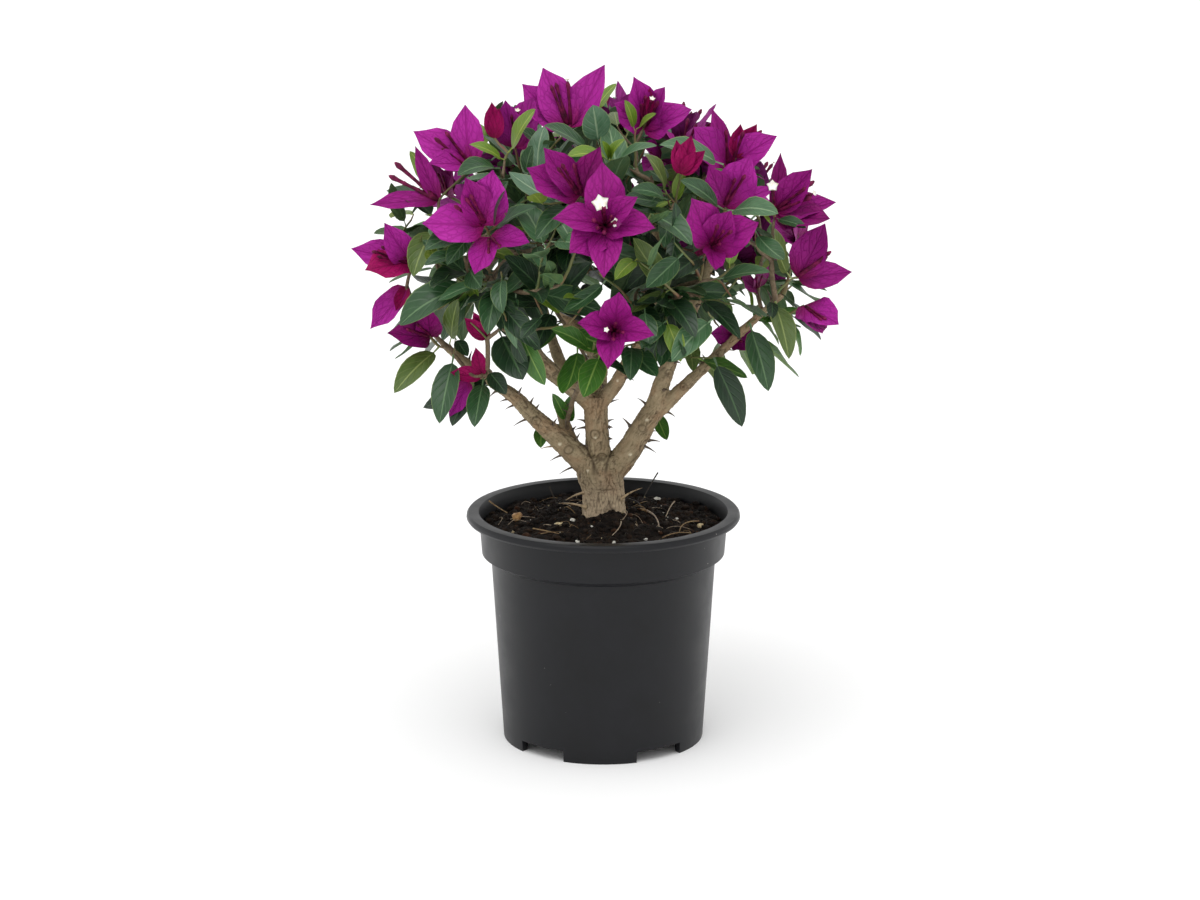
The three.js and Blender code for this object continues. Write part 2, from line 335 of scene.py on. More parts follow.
pot_mesh.set_sharp_from_angle(angle=math.radians(40))
print("the notched and rounded pot has", len(pot_mesh.polygons), "faces")

# %% [markdown]
# ### Black polypropylene
# Carbon black in a satin plastic gives a near-black that still shows soft broad reflections. The
# mould's fine spark-eroded grain, about 0.4 mm, breaks them up. The real grain is finer than that
# and would not show. Handling leaves faint rubbed streaks, and a few specks of compost dust.

# %% Pot material
GRAIN_SIZE = 0.4 * MM
RUB_SIZE = 30 * MM
DUST_SPACING = 11 * MM

pot_plastic, tree, shader = new_material("black_polypropylene_satin", IOR=1.49)
shader.inputs["Specular IOR Level"].default_value = 0.3
place = add(tree, "ShaderNodeTexCoord").outputs["Object"]
rubbed = add(tree, "ShaderNodeTexNoise", {"Vector": place, "Scale": 1 / RUB_SIZE, "Detail": 5.0,
                                          "Roughness": 0.62})
plastic = add(tree, "ShaderNodeValToRGB", {"Fac": rubbed.outputs["Fac"]},
              stops=[(0.3, "#0a0b0e"), (0.55, "#0f1014"), (0.8, "#15161a")])
dust = add(tree, "ShaderNodeTexVoronoi", {"Vector": place, "Scale": 1 / DUST_SPACING})
speck_size = add(tree, "ShaderNodeMath", {0: dust.outputs["Color"], 1: 0.055}, operation="MULTIPLY")
speck = add(tree, "ShaderNodeMath", {0: dust.outputs["Distance"], 1: speck_size.outputs[0]},
            operation="LESS_THAN")
colour = add(tree, "ShaderNodeMix", {0: speck.outputs[0], 6: plastic.outputs["Color"],
                                     7: linear("#8d8a84")}, data_type="RGBA")
tree.links.new(colour.outputs[2], shader.inputs["Base Color"])
gloss = add(tree, "ShaderNodeMapRange", {"Value": rubbed.outputs["Fac"], "From Min": 0.3,
                                         "From Max": 0.75, "To Min": 0.36, "To Max": 0.5})
tree.links.new(gloss.outputs["Result"], shader.inputs["Roughness"])
grain = add(tree, "ShaderNodeTexNoise", {"Vector": place, "Scale": 1 / GRAIN_SIZE, "Detail": 2.0})
relief = add(tree, "ShaderNodeBump", {"Height": grain.outputs["Fac"], "Strength": 0.18,
                                      "Distance": 0.06 * MM})
tree.links.new(relief.outputs["Normal"], shader.inputs["Normal"])
add_piece("nursery_pot", pot_mesh, [pot_plastic], "pot", "pot")

# %% [markdown]
# ## The potting soil
# The soil fills the pot to just under its lip, higher at the stem. Its surface is clods a centimetre
# wide with finer crumbs on them. A spun solid with many rings gives the volume, noise lifts its top,
# and thousands of loose crumbs, fibres and grains are laid on it as real small meshes.


# %% Soil surface
# How far the soil lies below the rim: within STEM_STAND of the axis, and at the wall. All in mm.
SOIL_DROP_AT_STEM = 3
SOIL_DROP_AT_WALL = 10
STEM_STAND = 20
HEAP_PLACE = Vector((7, -17, 0))
HEAP_HEIGHT = 4.5
HEAP_AREA = 180
SOIL_RADIUS = 84
SOIL_RINGS = 54
SOIL_SIDES = 220
SOIL_GAP = 0.35
FLAT_TOP = 150


def ramp(value, start, end):
    """Rises smoothly from 0 at start to 1 at end."""
    t = min(1.0, max(0.0, (value - start) / (end - start)))
    return t * t * (3 - 2 * t)


def soil_height(x, y):
    """Height in mm of the soil's surface at a place in mm, with its clods and a heap at the stem."""
    outside = ramp(math.hypot(x, y), STEM_STAND, SOIL_RADIUS)
    lowered = SOIL_DROP_AT_STEM + (SOIL_DROP_AT_WALL - SOIL_DROP_AT_STEM) * outside
    clods = 2.6 * noise.noise(Vector((x, y, 40)) / 13) + 1.5 * noise.noise(Vector((x, y, 9)) / 5.5)
    crumbs = 0.8 * noise.noise(Vector((x, y, 3)) / 2.2)
    away = (Vector((x, y, 0)) - HEAP_PLACE).length_squared
    return POT_HEIGHT - lowered + clods + crumbs + HEAP_HEIGHT * math.exp(-away / HEAP_AREA)


soil_foot = FLOOR_TOP + SOIL_GAP
soil_profile = [
    (0, soil_foot),
    (inner_radius(FLOOR_TOP) - SOIL_GAP, soil_foot),
    (SHOULDER_RADIUS - WALL - SOIL_GAP, wall_top),
    (COLLAR_FOOT - WALL - 0.4, collar_bottom),
    (SOIL_RADIUS - 0.6, FLAT_TOP),
]
for ring in range(1, SOIL_RINGS + 1):
    soil_profile.append((SOIL_RADIUS * (1 - ring / SOIL_RINGS), FLAT_TOP))
soil_mesh = spun("soil", soil_profile, SOIL_SIDES)
for vertex in soil_mesh.vertices:
    if vertex.co.z > (FLAT_TOP - 1) * MM:
        vertex.co.z = soil_height(vertex.co.x / MM, vertex.co.y / MM) * MM
for face in soil_mesh.polygons:
    face.use_smooth = True
print("soil from", round(soil_foot, 2), "to about", round(POT_HEIGHT - SOIL_DROP_AT_STEM), "mm")

# %% [markdown]
# ### Peat compost
# Damp peat and composted bark: nearly black, with reddish-brown shreds, dull all over. The colour
# patches are clod-sized and the bump is crumb-sized, so that no stretch of it looks smooth.

# %% Soil materials
CLOD_PATCH = 7 * MM
CRUMB_BUMP = 1.3 * MM


def compost(name, dark, middle, pale):
    """A crumbly matt material in three close browns."""
    made, tree, shader = new_material(name, Roughness=0.92)
    shader.inputs["Specular IOR Level"].default_value = 0.25
    place = add(tree, "ShaderNodeTexCoord").outputs["Object"]
    clods = add(tree, "ShaderNodeTexNoise", {"Vector": place, "Scale": 1 / CLOD_PATCH, "Detail": 8.0,
                                             "Roughness": 0.72})
    shade = add(tree, "ShaderNodeValToRGB", {"Fac": clods.outputs["Fac"]},
                stops=[(0.36, dark), (0.52, middle), (0.68, pale)])
    tree.links.new(shade.outputs["Color"], shader.inputs["Base Color"])
    crumbs = add(tree, "ShaderNodeTexNoise", {"Vector": place, "Scale": 1 / CRUMB_BUMP, "Detail": 6.0,
                                              "Roughness": 0.75})
    relief = add(tree, "ShaderNodeBump", {"Height": crumbs.outputs["Fac"], "Strength": 0.9,
                                          "Distance": 0.9 * MM})
    tree.links.new(relief.outputs["Normal"], shader.inputs["Normal"])
    return made


peat = compost("peat_compost_damp", "#0b0807", "#1c140f", "#33251b")
add_piece("soil_bed", soil_mesh, [peat], "soil", "soil")


# %% Crumbs
CRUMB_COUNT = 3200
CLOD_COUNT = 420
CRUMB_SIZES = (0.45, 1.3)
CLOD_SIZES = (1.5, 3.2)
CRUMB_SHAPES = 5


def lump_mesh(name, detail, flatness, rng, materials, material_number):
    """A rough rounded lump of radius 1: an icosphere pulled about by noise and flattened."""
    bm = bmesh.new()
    made = bmesh.ops.create_icosphere(bm, subdivisions=detail, radius=1)["verts"]
    offset = Vector((rng.uniform(0, 99), rng.uniform(0, 99), rng.uniform(0, 99)))
    for vertex in made:
        vertex.co *= 1 + 0.5 * noise.noise(vertex.co * 1.3 + offset)
    bmesh.ops.scale(bm, vec=(1, rng.uniform(0.55, 0.9), flatness), verts=made)
    for face in bm.faces:
        face.material_index = material_number
        face.smooth = detail > 1
    mesh = bpy.data.meshes.new(name)
    bm.to_mesh(mesh)
    bm.free()
    for made in materials:
        mesh.materials.append(made)
    return mesh


def laid(x, y, lift, size, rng, tilt=0.6):
    """The matrix that lays a lump on the soil at a place in mm, turned and tilted at random."""
    place = Matrix.Translation(Vector((x, y, soil_height(x, y) + lift)) * MM)
    turn = Matrix.Rotation(rng.uniform(*ANY_TURN), 4, "Z")
    tilted = Matrix.Rotation(rng.uniform(-tilt, tilt), 4, "X")
    return place @ turn @ tilted @ Matrix.Scale(size * MM, 4)


def on_soil(rng, largest=81, smallest=13):
    """A seeded place on the open soil, even over its area, in mm."""
    radius = math.sqrt(rng.uniform(smallest ** 2, largest ** 2))
    turn = rng.uniform(0, 2 * math.pi)
    return radius * math.cos(turn), radius * math.sin(turn)


rng = random.Random(11)
brown_peat = compost("peat_crumb_brown", "#17100b", "#281b13", "#40301f")
bark_chip = compost("composted_bark_chip", "#2b1a10", "#422a1b", "#5e4330")
crumb_materials = [peat, brown_peat, bark_chip]
crumbs = {}
for kind in range(3):
    for detail in (1, 2):
        for number in range(CRUMB_SHAPES):
            flatness = rng.uniform(0.45, 0.9)
            made = lump_mesh("crumb", detail, flatness, rng, crumb_materials, kind)
            crumbs[kind, detail, number] = made
copies = []
for number in range(CRUMB_COUNT + CLOD_COUNT):
    x, y = on_soil(rng)
    large = number < CLOD_COUNT
    size = rng.uniform(*(CLOD_SIZES if large else CRUMB_SIZES))
    kind = rng.choices((0, 1, 2), (12, 5, 1))[0]
    shape = crumbs[kind, 2 if large else 1, rng.randrange(CRUMB_SHAPES)]
    copies.append((shape, laid(x, y, 0.25 * size, size, rng)))
add_piece("soil_crumbs", joined("crumbs", copies), crumb_materials, "soil")

# %% [markdown]
# ### What lies on the soil
# A tan pebble, a few pale flakes of perlite and seed husk, thin roots, and straws of dry stalk. Each
# has a listed place, because the eye goes to them against the dark soil, and finer fibres are strewn
# by a seeded rule. The stalks are tubes along a curve, with a radius at each point.


# %% Tubes along a path
def tube_mesh(name, tubes, rounds, materials):
    """Closed round tubes as one mesh. A tube is its (place, radius) points and a material number."""
    curve = bpy.data.curves.new(name, "CURVE")
    curve.dimensions = "3D"
    curve.bevel_depth = 1.0
    curve.bevel_resolution = rounds
    curve.use_fill_caps = True
    for made in materials:
        curve.materials.append(made)
    for points, material_number in tubes:
        spline = curve.splines.new("POLY")
        spline.points.add(len(points) - 1)
        spline.material_index = material_number
        for point, (place, radius) in zip(spline.points, points):
            point.co = (*place, 1.0)
            point.radius = radius
    holder = bpy.data.objects.new(name, curve)
    scene.collection.objects.link(holder)
    shown = holder.evaluated_get(bpy.context.evaluated_depsgraph_get())
    mesh = bpy.data.meshes.new_from_object(shown)
    bpy.data.objects.remove(holder)
    for face in mesh.polygons:
        face.use_smooth = True
    mesh.set_sharp_from_angle(angle=math.radians(60))
    return mesh


def bowed(start, end, bow, radius, tip_radius, steps=7):
    """A tapering path from start to end in mm that bows sideways by a vector in mm."""
    points = []
    for step in range(steps + 1):
        t = step / steps
        place = Vector(start).lerp(Vector(end), t) + Vector(bow) * 4 * t * (1 - t)
        points.append((place * MM, (radius + (tip_radius - radius) * t) * MM))
    return points


# %% Straws, roots and fibres
# Start, end, bow, radius at the start, material number: 0 tan straw, 1 pale root, 2 dark stalk.
STRAWS = [
    ((29, 8, 160), (38, -38, 157), (3, 0, 2), 0.7, 1),
    ((22, 12, 158), (31, 4, 160), (0, 0, 1), 1.7, 0),
    ((50, 20, 163), (43, -3, 157), (0, 2, 1), 0.55, 1),
    ((39, 70, 171), (27, 44, 156), (-1, 0, -1), 0.6, 2),
    ((-80, 18, 164), (-67, 8, 158), (0, 2, -1), 0.55, 0),
    ((-25, -6, 166), (-18, -3, 158), (0, 0, 1), 0.5, 0),
    ((10, -15, 162), (6, -48, 157), (4, 0, 1), 0.5, 1),
    ((19, -14, 160), (24, -30, 158), (-1, 0, 1), 0.5, 1),
    ((66, -18, 159), (52, -42, 158), (-3, 4, 1), 0.5, 0),
    ((18, 30, 162), (26, 14, 158), (3, 0, 1), 0.6, 2),
    ((-38, 34, 170), (-31, 22, 157), (0, 0, 0), 0.6, 2),
    ((-48, -34, 158), (-30, -44, 157), (0, -3, 1), 0.5, 0),
    ((40, -54, 157), (60, -46, 158), (0, 3, 1), 0.5, 0),
]
FIBRES = 110
FIBRE_LENGTHS = (5, 20)
FINE_GRAINS = 45

tubes = []
for start, end, bow, radius, kind in STRAWS:
    tubes.append((bowed(start, end, bow, radius, radius * 0.5), kind))
for number in range(FIBRES):
    x, y = on_soil(rng, 78, 18)
    turn = rng.uniform(0, 2 * math.pi)
    length = rng.uniform(*FIBRE_LENGTHS)
    far_x = x + length * math.cos(turn)
    far_y = y + length * math.sin(turn)
    if math.hypot(far_x, far_y) > 80:
        continue
    start = (x, y, soil_height(x, y) + 0.3)
    end = (far_x, far_y, soil_height(far_x, far_y) + rng.uniform(0.2, 2.5))
    bow = (rng.uniform(-3, 3), rng.uniform(-3, 3), rng.uniform(0.5, 2.5))
    tubes.append((bowed(start, end, bow, rng.uniform(0.14, 0.34), 0.1), rng.choice((0, 2, 2, 2, 1))))

straw_materials = []
for name, dark, pale in (("dry_straw_tan", "#6d5136", "#a98f66"),
                         ("young_root_pale", "#8d7764", "#c9b8a0"),
                         ("old_stalk_dark", "#15110c", "#3a3025")):
    made, tree, shader = new_material(name, Roughness=0.7)
    place = add(tree, "ShaderNodeTexCoord").outputs["Object"]
    streak = add(tree, "ShaderNodeTexNoise", {"Vector": place, "Scale": 1 / (2.5 * MM), "Detail": 4.0})
    shade = add(tree, "ShaderNodeValToRGB", {"Fac": streak.outputs["Fac"]},
                stops=[(0.3, dark), (0.7, pale)])
    tree.links.new(shade.outputs["Color"], shader.inputs["Base Color"])
    straw_materials.append(made)
add_piece("soil_straws", tube_mesh("straws", tubes, 1, straw_materials), straw_materials, "soil")

# %% Pebble, husks and perlite
# Place, size in mm, how flat, material number: 0 pebble, 1 husk, 2 perlite.
GRAINS = [
    ((-60, 3), 5.2, 0.7, 0),
    ((-30, -22), 3.6, 0.35, 1),
    ((-21, -19), 2.4, 0.4, 2),
    ((38, 57), 3.2, 0.5, 2),
    ((67, -10), 2.8, 0.6, 1),
    ((-17, -59), 2.4, 0.5, 2),
    ((7, -58), 1.6, 0.8, 2),
    ((-8, -34), 1.2, 0.7, 2),
    ((29, -52), 1.3, 0.7, 2),
    ((51, 0), 1.5, 0.6, 2),
    ((-62, -30), 1.6, 0.6, 1),
]
grain_materials = []
for name, dark, pale, roughness in (("sandstone_pebble_worn", "#8a6238", "#c69a63", 0.55),
                                    ("seed_husk_dry", "#b59a6c", "#e2d2a8", 0.6),
                                    ("perlite_expanded", "#c9c5ba", "#f4f1e8", 0.85)):
    made, tree, shader = new_material(name, Roughness=roughness)
    place = add(tree, "ShaderNodeTexCoord").outputs["Object"]
    mottle = add(tree, "ShaderNodeTexNoise", {"Vector": place, "Scale": 1 / (1.8 * MM), "Detail": 5.0})
    shade = add(tree, "ShaderNodeValToRGB", {"Fac": mottle.outputs["Fac"]},
                stops=[(0.35, dark), (0.65, pale)])
    tree.links.new(shade.outputs["Color"], shader.inputs["Base Color"])
    grain_materials.append(made)
copies = []
for (x, y), size, flatness, kind in GRAINS:
    shape = lump_mesh("grain", 3, flatness, rng, grain_materials, kind)
    copies.append((shape, laid(x, y, 0.5 * size * flatness, size, rng, 0.2)))
fine_grains = [lump_mesh("fine_grain", 1, 0.7, rng, grain_materials, kind) for kind in (1, 2)]
for number in range(FINE_GRAINS):
    x, y = on_soil(rng)
    copies.append((rng.choice(fine_grains), laid(x, y, 0.4, rng.uniform(0.3, 0.75), rng)))
add_piece("soil_grains", joined("grains", copies), grain_materials, "soil")

# %% [markdown]
# ## Stem and boughs
# Each limb is a tapering round with its own bends, and where limbs meet the bark flows over the fork.
# Separate tubes would show a hard ring at each joint, so the tubes are only a start. A voxel Remesh
# wraps them in one skin, smoothing turns the joints into fillets, and the bark's relief is then
# pushed into that skin: fissures that run along each limb, lumps, wrinkles and scars of old shoots.

# %% The limbs' paths
# Each knot is x, y, height and radius in mm.
LIMBS = {
    "trunk": [(0.5, 0, 151, 16), (0, 0, 175, 14.8), (-2.5, 0, 191, 16.4), (-3, 0, 203, 13.5)],
    "centre_stem": [(-3, 0, 192, 10), (-4, 0, 212, 8.6), (-5, 0, 230, 8.3), (-5, 0, 244, 8.6)],
    "left_bough": [(-7, 0, 190, 9.5), (-20, -3, 204, 8.6), (-35, -6, 218.5, 7), (-49, -8, 232, 5.9),
                   (-62, -10, 246, 4.9), (-82, -12, 260, 3.8), (-106, -14, 280, 2.8)],
    "left_side_shoot": [(-19, 2, 204, 5), (-25, 8, 217, 4.4), (-30, 13, 232, 3.6)],
    "centre_left_bough": [(-8, 0, 238, 6.8), (-18, -2, 247, 6.2), (-38, -6, 264, 5.9), (-48, -8, 277, 5.4),
                          (-55, -9, 292, 4.7), (-68, -10, 310, 3.6), (-80, -10, 335, 2.8)],
    "centre_back_bough": [(-19, 2, 249, 4.8), (-26, 9, 258, 4.5), (-33, 17, 272, 4), (-42, 30, 300, 3.4),
                          (-50, 44, 335, 2.6)],
    "centre_right_bough": [(-3, 0, 238, 6), (9, -3, 253, 5), (17, -6, 269, 4.6), (27, -9, 284, 4.2),
                           (36, -11, 299, 3.7), (40, -12, 330, 3), (34, -12, 365, 2.4)],
    "right_bough": [(4, 0, 188, 9.8), (16, -2, 203, 9), (26, -3, 220, 8.2), (34, -4, 234, 7.4)],
    "right_inner_bough": [(32, -4, 229, 6.8), (37, -5, 243, 6.2), (42, -6, 259, 5.8), (51, -8, 284, 4.9),
                          (62, -6, 309, 4.2), (72, -2, 335, 3.2), (76, 0, 360, 2.6)],
    "right_outer_bough": [(33, -3, 229, 5.8), (47, -4, 242.5, 4.9), (63, -6, 259, 4.1), (79, -8, 275, 3.6),
                          (102, -10, 298, 2.8), (122, -12, 317, 2.2)],
    "back_bough": [(-2, 4, 192, 8), (-3, 17, 214, 6.8), (-3, 34, 240, 6), (-2, 50, 262, 5.4)],
    "back_left_bough": [(-3, 47, 257, 5), (-20, 60, 280, 4.4), (-42, 74, 305, 3.6), (-60, 84, 335, 2.8)],
    "back_right_bough": [(-2, 47, 257, 5), (16, 62, 278, 4.4), (38, 76, 300, 3.6), (58, 84, 328, 2.8)],
}
ROOT_LOBES = 6
SAMPLE_STEP = 1.5


def smooth_path(knots):
    """(place, radius) samples in mm, about SAMPLE_STEP apart, on a smooth curve through the knots."""
    knots = [Vector(knot) for knot in knots]
    samples = []
    for before, start, end, after in zip([knots[0]] + knots, knots, knots[1:], knots[2:] + [knots[-1]]):
        steps = max(2, round((end - start).length / SAMPLE_STEP))
        leave = (end - before) / 2
        arrive = (after - start) / 2
        for step in range(steps):
            t = step / steps
            along = (2 * t ** 3 - 3 * t ** 2 + 1) * start + (t ** 3 - 2 * t ** 2 + t) * leave
            along += (3 * t ** 2 - 2 * t ** 3) * end + (t ** 3 - t ** 2) * arrive
            samples.append((along.xyz, along.w))
    samples.append((knots[-1].xyz, knots[-1].w))
    return samples


paths = {name: smooth_path(knots) for name, knots in LIMBS.items()}
for name, path in paths.items():
    print(name, "is", round(sum((b[0] - a[0]).length for a, b in zip(path, path[1:]))), "mm long")

# %% One skin over all the limbs
VOXEL = 0.82 * MM
limb_tubes = []
for path in paths.values():
    limb_tubes.append(([(place * MM, radius * MM) for place, radius in path], 0))
for lobe in range(ROOT_LOBES):
    turn = (lobe + 0.3) * 2 * math.pi / ROOT_LOBES + 0.4 * math.sin(5 * lobe)
    outward = Vector((math.cos(turn), math.sin(turn), 0))
    start = outward * 10.5 + Vector((0, 0, 174))
    end = outward * (13.6 + math.sin(3 * lobe)) + Vector((0, 0, 150))
    limb_tubes.append((bowed(start, end, outward * -1, 3.5, 4.6), 0))
skin = tube_mesh("limbs", limb_tubes, 6, [])
skin = applied(
    skin,
    ("REMESH", {"mode": "VOXEL", "voxel_size": VOXEL, "adaptivity": 0.0, "use_smooth_shade": True}),
    ("SMOOTH", {"factor": 0.5, "iterations": 5}),
)
print("the skin has", len(skin.vertices), "vertices")

# %% [markdown]
# ### Bark relief
# For each point of the skin, the nearest limb gives three numbers in mm: two across the limb and one
# along it, squeezed so that patterns stretch that way. They are kept as an attribute called grain, so
# that the colours follow the same fissures as the relief. A second attribute, crack, tells how deep
# a point lies in a fissure or scar, and a third, pale, marks the cork spots.

# %% Push in the relief
ALONG_SQUEEZE = 0.24
FISSURE_SPACING = 2.6
FISSURE_DEPTH = 0.55
FINE_DEPTH = 0.18
LUMP_HEIGHT = 0.85
WRINKLE_HEIGHT = 0.42
WRINKLE_SPACING = 1.7
RING_DEPTH = 0.2
CORK_HEIGHT = 0.3
# Old shoots leave a raised ring round a pit; each has its place and radius in mm. The pit and a band
# just outside the ring are darkened, partly as painted shade.
SCARS = [
    ((-6, -9, 218), 2.2), ((-1, -10, 201.5), 2.3), ((22, -9, 191), 2.4), ((27, -9, 223), 2.0),
    ((-24, -10, 208), 2.2), ((-46, -14, 229), 1.9), ((-70, -15, 251), 1.6), ((-32, -12, 260), 1.9),
    ((45, -12, 262), 1.7), ((14, -10, 262), 1.5), ((55, -9, 252), 1.5), ((8, 14, 183), 2.4),
    ((-12, 12, 188), 2.0), ((-3, 30, 226), 2.0), ((-14, -9, 186), 1.5), ((3, -14, 166), 1.8),
]
# Cork spots catch the light as small cream dots.
CORK_SPOTS = [
    (-10.3, -13, 193.5), (18.7, -10.5, 204.4), (7.5, -13.5, 196.5), (-5.5, -9, 216), (-15, -8, 201),
    (30, -10.5, 229), (-30, -12.5, 212), (-43, -13, 268), (42, -11.5, 250), (10, -7.5, 256),
]
# A long crack runs across the stem's front; its middle, half length and depth in mm.
CROSS_CRACK = (Vector((2, -15, 180)), 9, 0.7)

limb_samples = []
for name, path in paths.items():
    run = 0.0
    for (place, radius), (ahead, _) in zip(path, path[1:]):
        limb_samples.append((place, (ahead - place).normalized(), radius, run + place.z * 0.3))
        run += (ahead - place).length
sample_tree = kdtree.KDTree(len(limb_samples))
for index, (place, _, _, _) in enumerate(limb_samples):
    sample_tree.insert(place, index)
sample_tree.balance()


def nearest_limb(place):
    """The limb sample whose surface is nearest to a place in mm."""
    found = sample_tree.find_n(place, 26)
    return min(found, key=lambda item: item[2] - limb_samples[item[1]][2])[1]


def bark_coordinates(place):
    """Two distances across the nearest limb and one squeezed along it in mm, and its radius."""
    middle, along, radius, run = limb_samples[nearest_limb(place)]
    offset = place - middle
    side = along.cross(Vector((0.1, 1, 0))).normalized()
    front = along.cross(side)
    ahead = offset.dot(along)
    return Vector((offset.dot(side), offset.dot(front), (run + ahead) * ALONG_SQUEEZE)), radius


# Where a bough presses against the stem a seam is left, sunk in and darkened with painted shade. It
# shows between two heights in mm, and fades in over the first few.
SEAM_BAND = (188, 212)
SEAM_FADE = 8
SEAM_WIDTH = 0.8
SEAM_DEPTH = 1.1


def seam(place):
    """How near a place in mm is to the line where a bough meets the stem, 1 on it and 0 away from it."""
    gaps = []
    for name in ("centre_stem", "left_bough", "right_bough"):
        gaps.append(min((place - middle).length - radius for middle, radius in paths[name][:20]))
    nearest = min(abs(gaps[0] - gaps[1]), abs(gaps[0] - gaps[2]))
    return math.exp(-(nearest / SEAM_WIDTH) ** 2)


normals = [normal.vector.copy() for normal in skin.vertex_normals]
grain_values = []
crack_values = []
pale_values = []
for vertex, normal in zip(skin.vertices, normals):
    place = vertex.co / MM
    grain_at, radius = bark_coordinates(place)
    thick = min(1.0, radius / 11)
    warp = noise.noise_vector(grain_at / 9) * 2.2
    line = noise.noise((grain_at + warp) / FISSURE_SPACING)
    fine_line = noise.noise((grain_at + warp) / (FISSURE_SPACING * 0.45) + Vector((7, 7, 7)))
    patch = ramp(noise.noise(grain_at / 14 + Vector((3, 3, 3))) + 0.6 * thick, -0.25, 0.55)
    deep = max(0.0, 1 - abs(line) / 0.13) * patch
    fine = max(0.0, 1 - abs(fine_line) / 0.2) * (0.35 + 0.65 * patch)
    lumps = 0.55 * noise.noise(place / 8) + 0.35 * noise.noise(place / 3.6)
    level = grain_at.z / ALONG_SQUEEZE / WRINKLE_SPACING
    wrinkle = noise.noise(Vector((grain_at.x / 7, grain_at.y / 7, level)))
    push = lumps * LUMP_HEIGHT - FISSURE_DEPTH * deep - FINE_DEPTH * fine + WRINKLE_HEIGHT * wrinkle
    push *= 0.5 + 0.5 * thick
    ring = max(0.0, 1 - abs(wrinkle) / 0.09)
    push -= RING_DEPTH * ring
    # crack darkens the colour in fissures, wrinkle rings, the seam, scar pits and the cross crack: partly
    # their darker bark, partly painted shade in these hollows.
    crack = 0.85 * deep + 0.36 * fine + 0.42 * ring
    if SEAM_BAND[0] < place.z < SEAM_BAND[1]:
        pressed = seam(place) * ramp(place.z, SEAM_BAND[0], SEAM_BAND[0] + SEAM_FADE)
        push -= SEAM_DEPTH * pressed
        crack = max(crack, pressed)
    for scar, size in SCARS:
        away = (place - Vector(scar)).length / size
        if away < 2.4:
            pit = math.exp(-(away / 0.5) ** 2)
            push += 1.0 * math.exp(-((away - 1) / 0.38) ** 2) - 1.2 * pit
            crack = max(crack, pit, 0.8 * math.exp(-((away - 1.55) / 0.25) ** 2))
    middle, half, depth = CROSS_CRACK
    offset = place - middle
    if abs(offset.x) < half and offset.y < 8:
        wander = offset.z - 1.2 * noise.noise(Vector((place.x / 6, 2, 5)))
        cut = math.exp(-(wander / 0.7) ** 2) * (1 - (offset.x / half) ** 2)
        push -= depth * cut
        crack = max(crack, cut)
    pale = 0.0
    for spot in CORK_SPOTS:
        away = (place - Vector(spot)).length
        pale = max(pale, 1 - ramp(away + 0.5 * noise.noise(place * 1.1), 0.7, 1.5))
    push += CORK_HEIGHT * pale
    vertex.co += normal * push * MM
    grain_values.extend(grain_at)
    crack_values.append(min(1.0, crack))
    pale_values.append(pale)
skin.attributes.new("grain", "FLOAT_VECTOR", "POINT").data.foreach_set("vector", grain_values)
skin.attributes.new("crack", "FLOAT", "POINT").data.foreach_set("value", crack_values)
skin.attributes.new("pale", "FLOAT", "POINT").data.foreach_set("value", pale_values)
print("mean crack", round(sum(crack_values) / len(crack_values), 3))

# %% [markdown]
# ### Bougainvillea bark
# Young bark is smooth and greenish-brown; with age it turns grey-buff, dull and finely fissured, and
# it is paler and pinker just above the soil, where its colour is lightened further as painted light
# against the shade the crown casts on the stem's foot. The grain attribute puts long streaks along
# the limbs, crack darkens the fissures, seams and pits, partly for their darker bark and partly as
# painted shade, and pale paints the cork spots cream.

# %% Bark material
bark, tree, shader = new_material("bougainvillea_bark_fissured", Roughness=0.82)
shader.inputs["Specular IOR Level"].default_value = 0.3
grain_at = add(tree, "ShaderNodeAttribute", attribute_name="grain").outputs["Vector"]
crack = add(tree, "ShaderNodeAttribute", attribute_name="crack").outputs["Fac"]
pale = add(tree, "ShaderNodeAttribute", attribute_name="pale").outputs["Fac"]
place = add(tree, "ShaderNodeTexCoord").outputs["Object"]
streaks = add(tree, "ShaderNodeTexNoise", {"Vector": grain_at, "Scale": 1 / 2.4, "Detail": 6.0,
                                           "Roughness": 0.65})
base = add(tree, "ShaderNodeValToRGB", {"Fac": streaks.outputs["Fac"]},
           stops=[(0.26, "#776348"), (0.46, "#a18b6b"), (0.62, "#b5a07f"), (0.8, "#ccbb99")])
patches = add(tree, "ShaderNodeTexNoise", {"Vector": place, "Scale": 1 / (15 * MM), "Detail": 3.0})
tint = add(tree, "ShaderNodeValToRGB", {"Fac": patches.outputs["Fac"]},
           stops=[(0.36, "#7d7a62"), (0.5, "#91846c"), (0.62, "#94745a")])
tinted = add(tree, "ShaderNodeMix", {0: 0.38, 6: base.outputs["Color"], 7: tint.outputs["Color"]},
             data_type="RGBA")
height = add(tree, "ShaderNodeSeparateXYZ", {"Vector": place})
# Paler and pinker towards the soil, and lightened further there as painted light against the crown's
# shade.
foot = add(tree, "ShaderNodeMapRange", {"Value": height.outputs["Z"], "From Min": 192 * MM,
                                        "From Max": 164 * MM, "To Min": 0.0, "To Max": 0.75})
foot_paled_with_painted_light = add(tree, "ShaderNodeMix", {0: foot.outputs["Result"], 6: tinted.outputs[2],
                                     7: linear("#d3bda0")}, data_type="RGBA")
